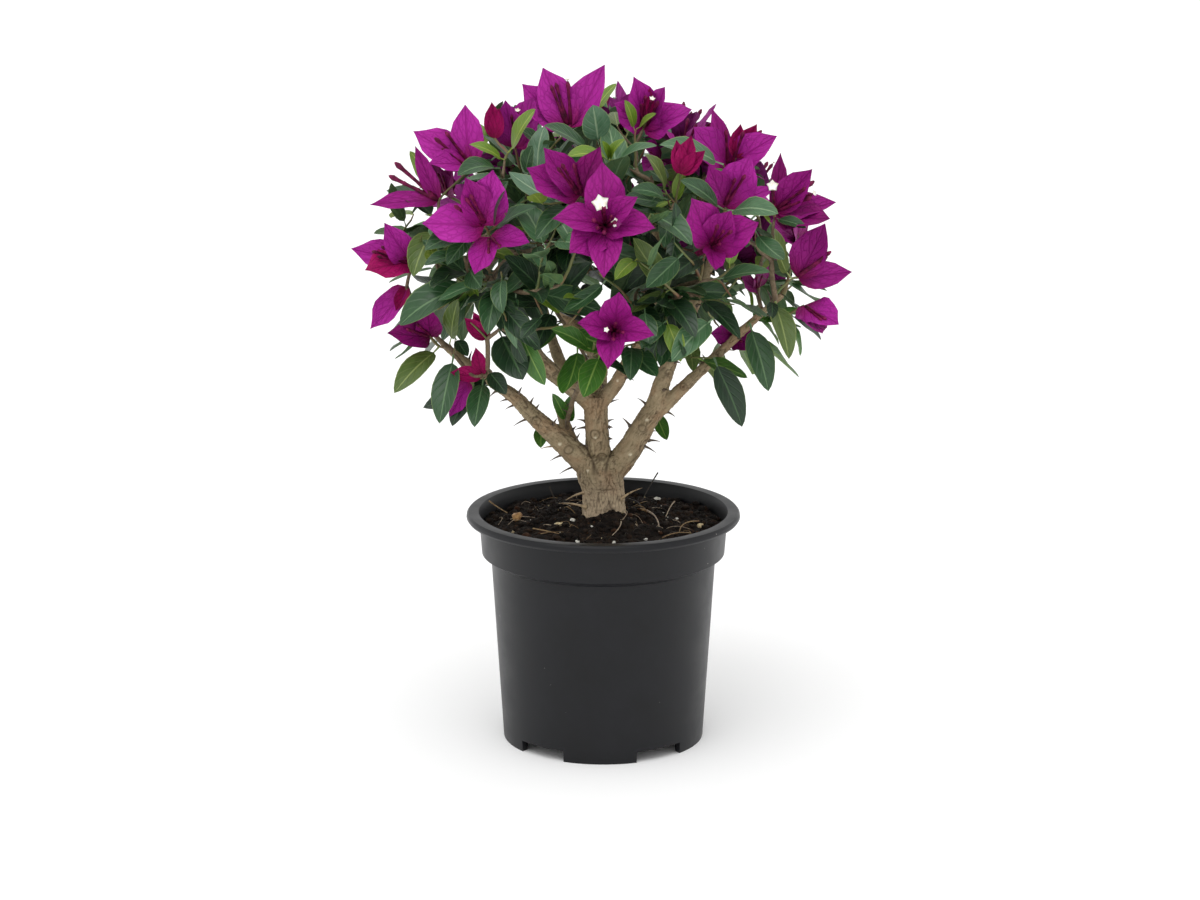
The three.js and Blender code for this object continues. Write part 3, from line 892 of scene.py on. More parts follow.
# Darken the hollows by crack: the darker bark in them, and painted shade.
shade = add(tree, "ShaderNodeMapRange", {"Value": crack, "To Max": 0.82})
hollows_darkened_with_painted_shade = add(tree, "ShaderNodeMix", {0: shade.outputs["Result"], 6: foot_paled_with_painted_light.outputs[2],
                                       7: linear("#3c2e21")}, data_type="RGBA")
spotted = add(tree, "ShaderNodeMix", {0: pale, 6: hollows_darkened_with_painted_shade.outputs[2], 7: linear("#d9cdb2")},
              data_type="RGBA")
tree.links.new(spotted.outputs[2], shader.inputs["Base Color"])
fibres = add(tree, "ShaderNodeTexNoise", {"Vector": grain_at, "Scale": 1 / 0.7, "Detail": 5.0,
                                          "Roughness": 0.7})
relief = add(tree, "ShaderNodeBump", {"Height": fibres.outputs["Fac"], "Strength": 0.6,
                                      "Distance": 0.35 * MM})
tree.links.new(relief.outputs["Normal"], shader.inputs["Normal"])
add_piece("bark", skin, [bark], "bark", *LIMBS)

# %% [markdown]
# ## How the crown grows
# A real crown is a tree of shoots: each one leaves an older one where that costs least, curves up
# towards the light and ends in leaves or flowers. The rule here does the same. It takes a list of
# tips, nearest first, and ties each to the cheapest place on what has grown so far, which is near,
# in line, and not far along thin wood. The flowers and leaves of the front have places listed one
# by one, and the rest of the dome is filled by a seeded rule, so the plant is the same each time.

# %% Where the flowers stand
# Base x, y, z in mm, the usual tint, and each bract's tip as seen from the front: mm across and up
# from the base. A third word gives that bract a tint of its own, or makes it a flower tube, and a
# fourth gives it a shape, by number.
SLIM = 4
NARROW = 6
# The lit and deep tints are the mid magenta with painted light and painted shade.
HEADS = [
    ((-23, 0, 429), "lit", [(-18, 41), (24, 43), (-32, 30)]),
    ((27, -5, 430), "lit", [(-7, 32), (32, 10), (-20, 14), (14, 25)]),
    ((29, -12, 436), "crimson", [(2, 21)]),
    ((-90, -15, 405), "lit", [(-3, 42), (-38, 24), (-27, 0)]),
    ((-73, -8, 423), "crimson", [(-2, 24), (3, 20)]),
    ((-60, 10, 414), "lit", [(-6, 30), (13, 32)]),
    ((-107, 15, 381), "deep", [(5, 16), (-10, 20)]),
    ((-111, -15, 382), "mid", [
        (-16, 37, "mid", NARROW), (-47, -3, "mid", NARROW),
        (-34, 17, "tube"), (-30, 26, "tube"), (-26, 13, "tube"),
    ]),
    ((-78, -78, 376), "lit", [(6, 35), (-41, 1), (-12, 30, "mid")]),
    ((-75, -75, 368), "lit", [(27, -5), (-9, -26)]),
    ((-130, -15, 340), "lit", [(-41, 9), (-30, -7, "crimson"), (-17, 25)]),
    ((-134, -5, 321), "lit", [(-25, -29, "lit", SLIM), (-7, -17, "crimson")]),
    ((-117, -30, 291), "deep", [(-28, 2), (-1, 20)]),
    ((-78, -50, 294), "crimson", [(-15, 14), (-9, 18)]),
    ((-82, -42, 267), "crimson", [(-21, 2), (-4, 19)]),
    ((-91, -42, 264), "lit", [(-13, -25, "lit", SLIM)]),
    ((1, -112, 382), "mid", [(-2, 41), (-34, 3), (-23, -19), (-1, -35), (32, -3), (21, 17)]),
    ((-15, -90, 398), "mid", [(-24, 30), (-35, 17), (13, 30, "deep")]),
    ((7, -112, 313), "mid", [(3, 24), (-24, 4), (-4, -26), (26, -4)]),
    ((71, -82, 363), "mid", [(-14, 30), (12, 22), (30, 14), (2, -17)]),
    ((51, -58, 407), "crimson", [(7, 25), (16, 15), (-3, 22)]),
    ((85, -10, 405), "lit", [(-12, 39, "mid", NARROW), (-25, 24), (31, 18), (22, 24, "tube")]),
    ((89, -14, 411), "crimson", [(3, 22), (14, 22)]),
    ((81, -48, 383), "lit", [(16, 33), (35, 14, "lit", NARROW), (-12, 26, "mid")]),
    ((115, -25, 377), "deep", [
        (4, 39, "deep", NARROW), (36, -7), (24, 26, "mid"), (41, 5, "mid"), (27, 20, "tube"),
    ]),
    ((131, -25, 331), "mid", [(18, 36), (37, 4, "mid", SLIM), (20, 14, "tube"), (15, 12, "tube")]),
    ((136, -20, 311), "lit", [(22, -14), (11, -20, "mid")]),
    ((89, 12, 284), "mid", [(16, -10), (-16, 0)]),
    ((106, 5, 318), "deep", [(-13, 8), (6, 14)]),
    ((133, 5, 351), "mid", [(-21, 12), (-4, 20)]),
    ((39, 15, 405), "mid", [(-12, -10), (-14, 8)]),
]
# Open flowers: place in mm and width of the white star in mm.
OPEN_FLOWERS = [
    ((-2, -126, 399), 12), ((8, -124, 386), 7), ((112, -52, 398), 8.5), ((36, -60, 340), 4),
]

# Leaf shapes by number: the broad one, the round one, and those for leaves that hang.
BROAD = 7
ROUND = 8
SLENDER = (2, 4, 0)
# Tint, base, and the tip as seen from the front: mm across and up from the base. A shape may follow.
# The light, grey and bright tints are painted light, and dark and deep are painted shade.
FRONT_LEAVES = [
    ("grey", (-3, -34, 423), (-4, 25), ROUND), ("light", (7, -50, 415), (28, 7)),
    ("mid", (-7, -40, 420), (-32, 14)), ("mid", (-36, -5, 415), (-21, 13)),
    ("mid", (-69, -40, 408), (-27, -7)), ("mid", (-53, -40, 403), (6, 19)),
    ("mid", (-74, -70, 372), (12, 30)), ("mid", (-74, -70, 372), (31, 13)),
    ("mid", (-22, -80, 392), (-22, -26)), ("mid", (-84, -60, 366), (-33, -11)),
    ("mid", (-88, -60, 367), (-15, -21)), ("olive", (-113, -15, 363), (-14, -34)),
    ("mid", (-87, -50, 332), (-49, -28)), ("olive", (-104, -32, 287), (7, 29)),
    ("mid", (-69, -65, 333), (-7, -33)), ("dark", (-36, -70, 326), (-32, -2)),
    ("dark", (-35, -72, 326), (-30, 27)), ("dark", (-33, -75, 323), (25, 26)),
    ("dark", (-33, -70, 319), (-12, -29)), ("bright", (-7, -85, 294), (-27, 13)),
    ("bright", (-2, -88, 293), (-11, -30)), ("dark", (-70, -62, 303), (17, -34), BROAD),
    ("dark", (-78, -45, 272), (13, -17)), ("mid", (-81, -42, 265), (-5, -33)),
    ("mid", (-101, -38, 281), (-9, -47)), ("olive", (-111, -32, 285), (-29, -32)),
    ("dark", (-100, -36, 292), (9, -13)), ("bright", (-25, 2, 224), (-10, 20)),
    ("bright", (-24, 6, 222), (2, 20)), ("bright", (-43, 8, 222), (0, -17)),
    ("light", (80, -30, 409), (-43, 11)), ("olive", (42, -60, 394), (-15, 24)),
    ("mid", (42, -75, 393), (-24, 5)), ("mid", (31, -85, 385), (26, -22)),
    ("mid", (79, -60, 384), (-29, 17)), ("bright", (85, -30, 405), (-17, -7)),
    ("light", (82, -65, 384), (32, -4)), ("mid", (115, -30, 373), (20, -8)),
    ("dark", (66, -75, 355), (-23, -17)), ("light", (75, -70, 339), (34, 3)),
    ("light", (101, -50, 368), (18, -21)), ("olive", (127, -28, 331), (-13, 32)),
    ("dark", (38, -60, 348), (-23, -19)), ("dark", (41, -75, 328), (19, -28)),
    ("dark", (64, -55, 324), (26, -29)), ("dark", (75, -30, 277), (19, -47)),
    ("mid", (99, -28, 301), (12, -47)), ("olive", (116, -25, 316), (8, -41)),
    ("dark", (114, -26, 316), (-1, -14)), ("mid", (15, -85, 297), (20, -21)),
    ("olive", (59, 0, 286), (2, -25)), ("bright", (36, 15, 231), (8, -22)),
    ("young", (-64, -20, 415), (19, 27)), ("young", (-66, -30, 412), (-23, 9)),
    ("young", (21, -25, 431), (-7, 19)), ("young", (22, -25, 432), (13, 9)),
    ("young", (4, -60, 415), (-5, 13)), ("young", (4, -60, 415), (10, 14)),
]
print(len(HEADS), "flower heads and", len(FRONT_LEAVES), "leaves have places of their own")

# %% The dome's reach and the seeded tips
CROWN_MIDDLE = Vector((0, 0, 330))
CROWN_SIDE = 170
CROWN_DEPTH = 165
CROWN_RISE = cad_box[1].z / MM - CROWN_MIDDLE.z
CROWN_FALL = 107
OUTER_SHOOTS = 225
INNER_SHOOTS = 60
LOWEST_SHOOT = math.radians(-24)
GOLDEN_ANGLE = math.radians(137.508)
# Shares of the dome's reach at which shoots end, before leaves and bracts are added.
OUTER_REACH = (0.7, 0.84)
INNER_REACH = (0.34, 0.58)
FLOWER_SHARE = 0.44
# Room in mm round a listed head, as the viewer sees it and in depth.
HEAD_ROOM = 15
HEAD_DEPTH = 50
SHOULDER = 100


def seen_offset(place, other):
    """How far a place lies from another to the side as the viewer sees it, and how much nearer it is."""
    offset = place - other
    nearer = offset.dot(TO_VIEWER)
    return (offset - TO_VIEWER * nearer).length, nearer


def dome_point(direction, reach):
    """The point in mm in a direction from the crown's middle, at a share of the dome's reach."""
    rise = CROWN_RISE if direction.z > 0 else CROWN_FALL
    stretched = Vector((direction.x * CROWN_SIDE, direction.y * CROWN_DEPTH, direction.z * rise))
    return CROWN_MIDDLE + stretched * reach


def lowest_leaf(place):
    """Height in mm below which nothing hangs: the boughs stay bare in the middle."""
    aside = ramp(abs(place.x), 50, 100)
    behind = ramp(place.y, 10, 60)
    return 268 + 8 * behind - 38 * aside


rng = random.Random(5)
tips = []
for number in range(OUTER_SHOOTS):
    height = 1 - (number + 0.5) / OUTER_SHOOTS * (1 - math.sin(LOWEST_SHOOT))
    turn = number * GOLDEN_ANGLE
    level = math.sqrt(1 - height * height)
    direction = Vector((level * math.cos(turn), level * math.sin(turn), height))
    front = ramp(-direction.y, 0.0, 0.5)
    crest = ramp(height, 0.55, 0.9)
    tip = dome_point(direction, rng.uniform(*OUTER_REACH) - 0.1 * front - 0.08 * crest)
    if tip.z < lowest_leaf(tip) + 26:
        continue
    near = [base for base, _, _ in HEADS if abs(tip.y - base[1]) < HEAD_DEPTH]
    if any(seen_offset(tip, Vector(base))[0] < HEAD_ROOM for base in near):
        continue
    flowers = direction.y > -0.15 and height > -0.2 and rng.random() < FLOWER_SHARE
    # On the dome's shoulders the listed heads make its outline.
    if flowers and abs(tip.x) > SHOULDER and tip.y < HEAD_DEPTH:
        continue
    tips.append((tip, "head" if flowers else "leafy"))
for number in range(INNER_SHOOTS):
    height = rng.uniform(-0.15, 0.95)
    turn = number * GOLDEN_ANGLE
    level = math.sqrt(1 - height * height)
    direction = Vector((level * math.cos(turn), level * math.sin(turn), height))
    tip = dome_point(direction, rng.uniform(*INNER_REACH))
    if tip.z > lowest_leaf(tip) + 30:
        tips.append((tip, "inner"))
print(len(tips), "seeded shoots")

# %% Tie each tip to the plant
TIP_RADIUS = {"hand head": 0.85, "hand leaf": 0.6, "head": 0.85, "leafy": 0.7, "inner": 0.65}
PIPE_POWER = 2.35
NODE_STEP = 5.5
# What a shoot's place costs: a turn away from the old direction, and each mm along thin wood.
TURN_COST = 0.7
RUN_COST = 0.16
# Where the boughs part, in mm. Tips near it are tied first.
FORK = Vector((0, 0, 262))

# One list per fact of a growth node: place, direction, parent, length from the limb, limb radius.
node_place, node_heading, node_parent, node_run, node_limb = [], [], [], [], []


def grow_node(place, heading, parent, run, limb=0.0):
    """Add a growth node and give its number."""
    node_place.append(place)
    node_heading.append(heading)
    node_parent.append(parent)
    node_run.append(run)
    node_limb.append(limb)
    return len(node_place) - 1


for name, path in paths.items():
    for index in range(0, len(path) - 1, 3):
        place, radius = path[index]
        late = index > 0.5 * len(path) and place.z > 250
        if late or name in ("left_side_shoot", "right_bough"):
            ahead = (path[index + 1][0] - place).normalized()
            grow_node(place, ahead, -1, 0 if index > len(path) - 5 else 8, radius)
    place, radius = path[-1]
    if place.z > 225 and name not in ("centre_stem", "back_bough", "right_bough"):
        grow_node(place, (place - path[-3][0]).normalized(), -1, 0, radius)


def cheapest_node(tip):
    """The growth node that a shoot to this tip leaves from."""
    best = None
    for number, place in enumerate(node_place):
        reach = tip - place
        distance = reach.length
        if distance < 5:
            continue
        in_line = reach.dot(node_heading[number]) / distance
        if in_line < -0.1:
            continue
        cost = distance * (1 + TURN_COST * (1 - in_line)) + RUN_COST * node_run[number]
        if best is None or cost < best[0]:
            best = (cost, number)
    return best[1]


def curve_to(start, leave, end, arrive, steps, wander):
    """Places along a smooth path that leaves and arrives in given directions and wanders a little."""
    span = (end - start).length
    offset = Vector((rng.uniform(0, 99), rng.uniform(0, 99), rng.uniform(0, 99)))
    places = []
    for step in range(1, steps + 1):
        t = step / steps
        place = (2 * t ** 3 - 3 * t ** 2 + 1) * start + (t ** 3 - 2 * t ** 2 + t) * leave * span
        place += (3 * t ** 2 - 2 * t ** 3) * end + (t ** 3 - t ** 2) * arrive * span
        places.append(place + noise.noise_vector(offset + place / 14) * wander * t * (1 - t) * 4)
    return places


shoots = []
targets = [(Vector(base), "hand head", index) for index, (base, _, _) in enumerate(HEADS)]
targets += [(Vector(leaf[1]), "hand leaf", index) for index, leaf in enumerate(FRONT_LEAVES)]
targets += [(tip, kind, index) for index, (tip, kind) in enumerate(tips)]
targets.sort(key=lambda target: (target[0] - FORK).length)
for tip, kind, index in targets:
    origin = cheapest_node(tip)
    start = node_place[origin]
    towards = (tip - start).normalized()
    outward = (tip - CROWN_MIDDLE).normalized()
    leave = (node_heading[origin] * 0.8 + towards).normalized()
    arrive = (towards + outward * 0.35 + Vector((0, 0, 0.3))).normalized()
    steps = max(2, round((tip - start).length / NODE_STEP))
    own = []
    before = start
    parent = origin
    for place in curve_to(start, leave * 0.7, tip, arrive * 0.7, steps, 1.0):
        run = node_run[parent] + (place - before).length
        parent = grow_node(place, (place - before).normalized(), parent, run)
        own.append(parent)
        before = place
    shoots.append((kind, index, origin, own))
print(len(shoots), "shoots with", len(node_place), "nodes")

# %% [markdown]
# ### How thick each shoot is
# Wood works like a bundle of pipes: a shoot is as thick as all that it feeds together. Each node
# adds its own power of the radius to the one it grew from, and where a shoot leaves old wood it
# widens into a collar.

# %% Twigs
feeds = [0.0] * len(node_place)
for kind, index, origin, own in shoots:
    feeds[own[-1]] += TIP_RADIUS[kind] ** PIPE_POWER
for number in range(len(node_place) - 1, -1, -1):
    if node_parent[number] >= 0:
        feeds[node_parent[number]] += feeds[number]
node_radius = [max(0.55, feed ** (1 / PIPE_POWER)) for feed in feeds]

WOODY_FROM = 1.05
twig_tubes = []
for kind, index, origin, own in shoots:
    held = node_limb[origin] or node_radius[origin]
    start_radius = min(node_radius[own[0]] * 1.25, held * 0.9)
    at_the_end = node_limb[origin] and node_run[origin] == 0
    if at_the_end:
        start_radius = held * 0.96
    points = [(node_place[origin] * MM, start_radius * MM)]
    run = 0.0
    before = node_place[origin]
    for number in own:
        run += (node_place[number] - before).length
        before = node_place[number]
        collar = start_radius * math.exp(-run / (16 if at_the_end else 7))
        points.append((before * MM, max(node_radius[number], collar) * MM))
    if kind != "hand head" and kind != "head":
        points[-1] = (points[-1][0], points[-1][1] * 0.6)
    twig_tubes.append((points, 0 if node_radius[own[0]] > WOODY_FROM else 1))

woody, tree, shader = new_material("twig_bark_two_years_old", Roughness=0.75)
place = add(tree, "ShaderNodeTexCoord").outputs["Object"]
streaks = add(tree, "ShaderNodeTexNoise", {"Vector": place, "Scale": 1 / (3 * MM), "Detail": 6.0,
                                           "Roughness": 0.7})
shade = add(tree, "ShaderNodeValToRGB", {"Fac": streaks.outputs["Fac"]},
            stops=[(0.3, "#4f4130"), (0.5, "#6e5d47"), (0.7, "#8a7a62")])
tree.links.new(shade.outputs["Color"], shader.inputs["Base Color"])
relief = add(tree, "ShaderNodeBump", {"Height": streaks.outputs["Fac"], "Strength": 0.6,
                                      "Distance": 0.4 * MM})
tree.links.new(relief.outputs["Normal"], shader.inputs["Normal"])

green_stem, tree, shader = new_material("green_shoot_of_this_year", Roughness=0.55)
place = add(tree, "ShaderNodeTexCoord").outputs["Object"]
flush = add(tree, "ShaderNodeTexNoise", {"Vector": place, "Scale": 1 / (16 * MM), "Detail": 4.0})
shade = add(tree, "ShaderNodeValToRGB", {"Fac": flush.outputs["Fac"]},
            stops=[(0.34, "#5a6a34"), (0.5, "#6c6a3e"), (0.66, "#7c5240")])
tree.links.new(shade.outputs["Color"], shader.inputs["Base Color"])
twig_materials = [woody, green_stem]
add_piece("twigs", tube_mesh("twigs", twig_tubes, 1, twig_materials), twig_materials, "bark")

# %% [markdown]
# ## Thorns
# Bougainvillea thorns are short side shoots that harden: stiff, slightly curved, thick at the foot
# and needle-sharp. Old ones are grey, and those low on the stem are bleached tan. Each is a bowed
# tapering tube whose foot sits inside the bark.

# %% Thorns
# Foot and point in mm, and 1 for a bleached one.
THORNS = [
    ((-11.5, -2, 221.5), (-19.8, -4, 220.3), 0), ((18.5, -4, 223), (12.8, -6, 229.5), 0),
    ((31, -5, 213), (39.5, -7, 212.5), 0), ((27.5, -6, 209.5), (36.5, -9, 205), 0),
    ((-18, -5, 195), (-31, -8, 189.5), 0), ((11, -7, 171), (27, -12, 181), 1),
    ((-12.5, -5, 176), (-26, -9, 171.5), 1), ((-12, -8, 166), (-31, -14, 170.5), 1),
    ((4, -1, 221.5), (6.6, -2, 221.5), 0), ((4, -2, 213.5), (6.6, -3, 213.4), 0),
    ((-64, -10, 243.5), (-71, -12, 242), 0), ((-60, -10, 239.5), (-67.5, -12, 236.5), 0),
    ((-50.5, -8, 229.5), (-62, -11, 224.5), 0), ((-50.5, -8, 239), (-47.5, -10, 245), 0),
    ((-31, -6, 209), (-43.5, -9, 208), 1), ((-27, -5, 203), (-37, -8, 199), 0),
]
THORN_SPACING = (9, 16)
HAND_THORN_RADIUS = 1.15
BOUGH_THORN_RADIUS = 1.05
TWIG_THORN_RADIUS = 0.65
POINT_RADIUS = 0.1
BARE_STEM_TOP = 208
thorn_tubes = []


def thorn(foot, point, foot_radius, bleached):
    """A thorn from foot to point in mm, curved a little back towards the stem's foot."""
    length = (Vector(point) - Vector(foot)).length
    path = bowed(foot, point, Vector((0, 0, 0.06 * length)), foot_radius, POINT_RADIUS, 5)
    flared = [(place, radius * (1.5 if step == 0 else 1)) for step, (place, radius) in enumerate(path)]
    thorn_tubes.append((flared, bleached))


for foot, point, bleached in THORNS:
    thorn(foot, point, HAND_THORN_RADIUS, bleached)
thorn_rng = random.Random(23)
for name, path in paths.items():
    if name == "trunk":
        continue
    next_at = thorn_rng.uniform(*THORN_SPACING)
    run = 0.0
    for (place, radius), (ahead, _) in zip(path, path[1:]):
        run += (ahead - place).length
        if run < next_at or place.z < BARE_STEM_TOP:
            continue
        next_at = run + thorn_rng.uniform(*THORN_SPACING)
        along = (ahead - place).normalized()
        side = along.cross(Vector((0, 1, 0))).normalized()
        side.rotate(Matrix.Rotation(thorn_rng.choice((0, math.pi)) + thorn_rng.gauss(0, 0.7), 3, along))
        foot = place + side * (radius - 0.8)
        point = foot + (side + along * 0.3).normalized() * thorn_rng.uniform(5, 9.5)
        thorn(foot, point, BOUGH_THORN_RADIUS, 0)
for kind, index, origin, own in shoots:
    for number in own[2:-2:3]:
        if node_radius[number] > 1.0 and thorn_rng.random() < 0.6:
            along = node_heading[number]
            side = along.orthogonal().normalized()
            side.rotate(Matrix.Rotation(thorn_rng.uniform(*ANY_TURN), 3, along))
            foot = node_place[number] + side * (node_radius[number] - 0.4)
            point = foot + (side + along * 0.35).normalized() * thorn_rng.uniform(4, 8)
            thorn(foot, point, TWIG_THORN_RADIUS, 0)
thorn_materials = []
for name, dark, pale in (("hardened_thorn_grey", "#3a2f26", "#6a5a49"),
                         ("hardened_thorn_bleached", "#8d7558", "#c7b08c")):
    made, tree, shader = new_material(name, Roughness=0.5)
    place = add(tree, "ShaderNodeTexCoord").outputs["Object"]
    streak = add(tree, "ShaderNodeTexNoise", {"Vector": place, "Scale": 1 / (2.5 * MM), "Detail": 3.0})
    shade = add(tree, "ShaderNodeValToRGB", {"Fac": streak.outputs["Fac"]},
                stops=[(0.35, dark), (0.65, pale)])
    tree.links.new(shade.outputs["Color"], shader.inputs["Base Color"])
    thorn_materials.append(made)
print(len(thorn_tubes), "thorns")
add_piece("thorns", tube_mesh("thorns", thorn_tubes, 1, thorn_materials), thorn_materials, "bark")

# %% [markdown]
# ## One blade, many leaves and bracts
# A leaf and a bract are the same thing to build: a thin lens with an outline, folded a little along
# its middle rib, curled along its length and wavy at its edge. Two small grids make the upper and
# lower face; the ends of each row are drawn in to the outline, so the grids meet along the margin
# and are merged there. Copies would look stamped from one flat sheet, so there are several shapes.
# The grid's own UV runs across and along the blade, and one map holds it in tiles, a tile for each
# material, so that veins and margins follow every blade wherever it lies.

# %% The blade
BLADE_ROWS = 9
BLADE_COLUMNS = 4
TILES = 4
TILE_INSET = 0.03
BLADE_THICKNESS = 0.006
ROW_EASE = 0.55
WAVE_TURNS = 9.5
STALK_DROP = 0.35


def tile_uv(tile, across, along):
    """A place in one tile of the shared map, with a little room at the tile's edge."""
    column = tile % TILES
    row = tile // TILES
    share = 1 - 2 * TILE_INSET
    return ((column + TILE_INSET + share * across) / TILES, (row + TILE_INSET + share * along) / TILES)


def leaf_outline(t):
    """Half width of a leaf as a share of its widest: elliptical, with a drawn-out point."""
    return (max(0.0, t) ** 0.6) * (max(0.0, 1 - t) ** 0.8) / 0.3805


def bract_outline(t):
    """Half width of a bract: broad and rounded low down, with a fine point."""
    point = 1 - 0.5 * ramp(t, 0.7, 1)
    return max(0.0, t) ** 0.55 * max(0.0, 1 - t) ** 0.8 * point / 0.3995


def blade_mesh(name, outline, shape, tiles, materials, stalk):
    """A blade from (0, 0, 0) to (0, 1, 0), facing up. shape is width, fold, curl, wave and twist."""
    width, fold, curl, wave, twist = shape
    bm = bmesh.new()
    uv = bm.loops.layers.uv.new("OFBake")
    for side, tile in zip((1, -1), tiles):
        made = bmesh.ops.create_grid(bm, x_segments=BLADE_COLUMNS, y_segments=BLADE_ROWS, size=0.5,
                                     calc_uvs=True)["verts"]
        faces = list({face for vertex in made for face in vertex.link_faces})
        for face in faces:
            face.material_index = tile
            for loop in face.loops:
                loop[uv].uv = tile_uv(tile, loop.vert.co.x + 0.5, loop.vert.co.y + 0.5)
        for vertex in made:
            across = 2 * vertex.co.x
            even = vertex.co.y + 0.5
            t = (1 - ROW_EASE) * even + ROW_EASE * (1 - math.cos(math.pi * even)) / 2
            half = width / 2 * outline(t)
            x = across * half
            z = side * BLADE_THICKNESS * (1 - across * across) * outline(t)
            z += fold * abs(x) - fold * half * 0.35
            z += wave * math.sin(WAVE_TURNS * t + 2 * across) * across * across * outline(t)
            lean = curl * t
            y = math.sin(lean) / curl
            drop = -(1 - math.cos(lean)) / curl
            turn = Matrix.Rotation(twist * t, 3, "Y")
            vertex.co = turn @ Vector((x, 0, z))
            raised = vertex.co.z
            vertex.co += Vector((0, y + raised * math.sin(lean), drop - raised * (1 - math.cos(lean))))
        if side < 0:
            bmesh.ops.reverse_faces(bm, faces=faces)
    bmesh.ops.remove_doubles(bm, verts=bm.verts, dist=1e-5)
    if stalk:
        bmesh.ops.translate(bm, vec=(0, stalk, -STALK_DROP * stalk), verts=bm.verts)
        rod = Vector((0, stalk * 1.06, -STALK_DROP * stalk))
        turn = rod.to_track_quat("Z", "Y").to_matrix().to_4x4()
        made = bmesh.ops.create_cone(bm, cap_ends=True, segments=4, radius1=0.02, radius2=0.013,
                                     depth=rod.length, matrix=Matrix.Translation(rod / 2) @ turn)["verts"]
        for face in {face for vertex in made for face in vertex.link_faces}:
            face.material_index = tiles[0]
            for loop in face.loops:
                loop[uv].uv = tile_uv(tiles[0], 0.5 + loop.vert.co.x * 0.5, 0.02 + 0.2 * loop.vert.co.y)
    tip = max((vertex.co for vertex in bm.verts), key=lambda co: co.length)
    level = tip.rotation_difference(Vector((0, 1, 0))).to_matrix()
    bmesh.ops.rotate(bm, cent=(0, 0, 0), matrix=level, verts=bm.verts)
    bmesh.ops.scale(bm, vec=(1 / tip.length,) * 3, verts=bm.verts)
    for face in bm.faces:
        face.smooth = True
    mesh = bpy.data.meshes.new(name)
    bm.to_mesh(mesh)
    bm.free()
    mesh.set_sharp_from_angle(angle=math.radians(75))
    for made in materials:
        mesh.materials.append(made)
    return mesh


def blade_matrix(base, reach, facing):
    """Place a blade from base along reach, both in mm, with its upper face turned to facing."""
    along = reach.normalized()
    across = along.cross(facing)
    if across.length < 0.05:
        across = along.orthogonal()
    across.normalize()
    up = across.cross(along)
    turn = Matrix((across, along, up)).transposed().to_4x4()
    return Matrix.Translation(base * MM) @ turn @ Matrix.Scale(reach.length * MM, 4)


# %% [markdown]
# ### Leaf surfaces
# A leaf has a thin wax that gives it a soft sheen, a paler rib and side veins that sink into the
# blade, and a fine yellow-green margin. Leaves inside the crown are dark, partly for their age and
# partly as painted shade; the greyer, paler tints of leaves in the light are a painted sheen, the
# bright tint is painted light shining through a leaf, and young ones are lime. The underside is
# paler and dull. Each tint is a plain base colour that a spray of leaves shares.


# %% Leaf materials
def tile_place(tree, tile):
    """Across and along a blade from 0 to 1, read from its tile."""
    share = 1 - 2 * TILE_INSET
    column = tile % TILES
    row = tile // TILES
    uv = add(tree, "ShaderNodeUVMap", uv_map="OFBake").outputs["UV"]
    return add(tree, "ShaderNodeMapping", {
        "Vector": uv,
        "Location": (-(column + TILE_INSET) / share, -(row + TILE_INSET) / share, 0),
        "Scale": (TILES / share, TILES / share, 1),
    }).outputs["Vector"]


def vein_lines(tree, local, count, sweep):
    """Distance from the middle rib, and side veins as 1 on a vein and 0 between them."""
    parts = add(tree, "ShaderNodeSeparateXYZ", {"Vector": local})
    double = add(tree, "ShaderNodeMath", {0: parts.outputs["X"], 1: 2.0, 2: -1.0},
                 operation="MULTIPLY_ADD")
    aside = add(tree, "ShaderNodeMath", {0: double.outputs[0]}, operation="ABSOLUTE").outputs[0]
    swept = add(tree, "ShaderNodeMath", {0: aside, 1: -sweep, 2: parts.outputs["Y"]},
                operation="MULTIPLY_ADD")
    phase = add(tree, "ShaderNodeMath", {0: swept.outputs[0], 1: float(count)}, operation="MULTIPLY")
    fold = add(tree, "ShaderNodeMath", {0: phase.outputs[0], 1: 0.5}, operation="PINGPONG").outputs[0]
    line = add(tree, "ShaderNodeMapRange", {"Value": fold, "From Min": 0.0, "From Max": 0.16,
                                            "To Min": 1.0, "To Max": 0.0},
               interpolation_type="SMOOTHSTEP")
    return aside, line.outputs["Result"]


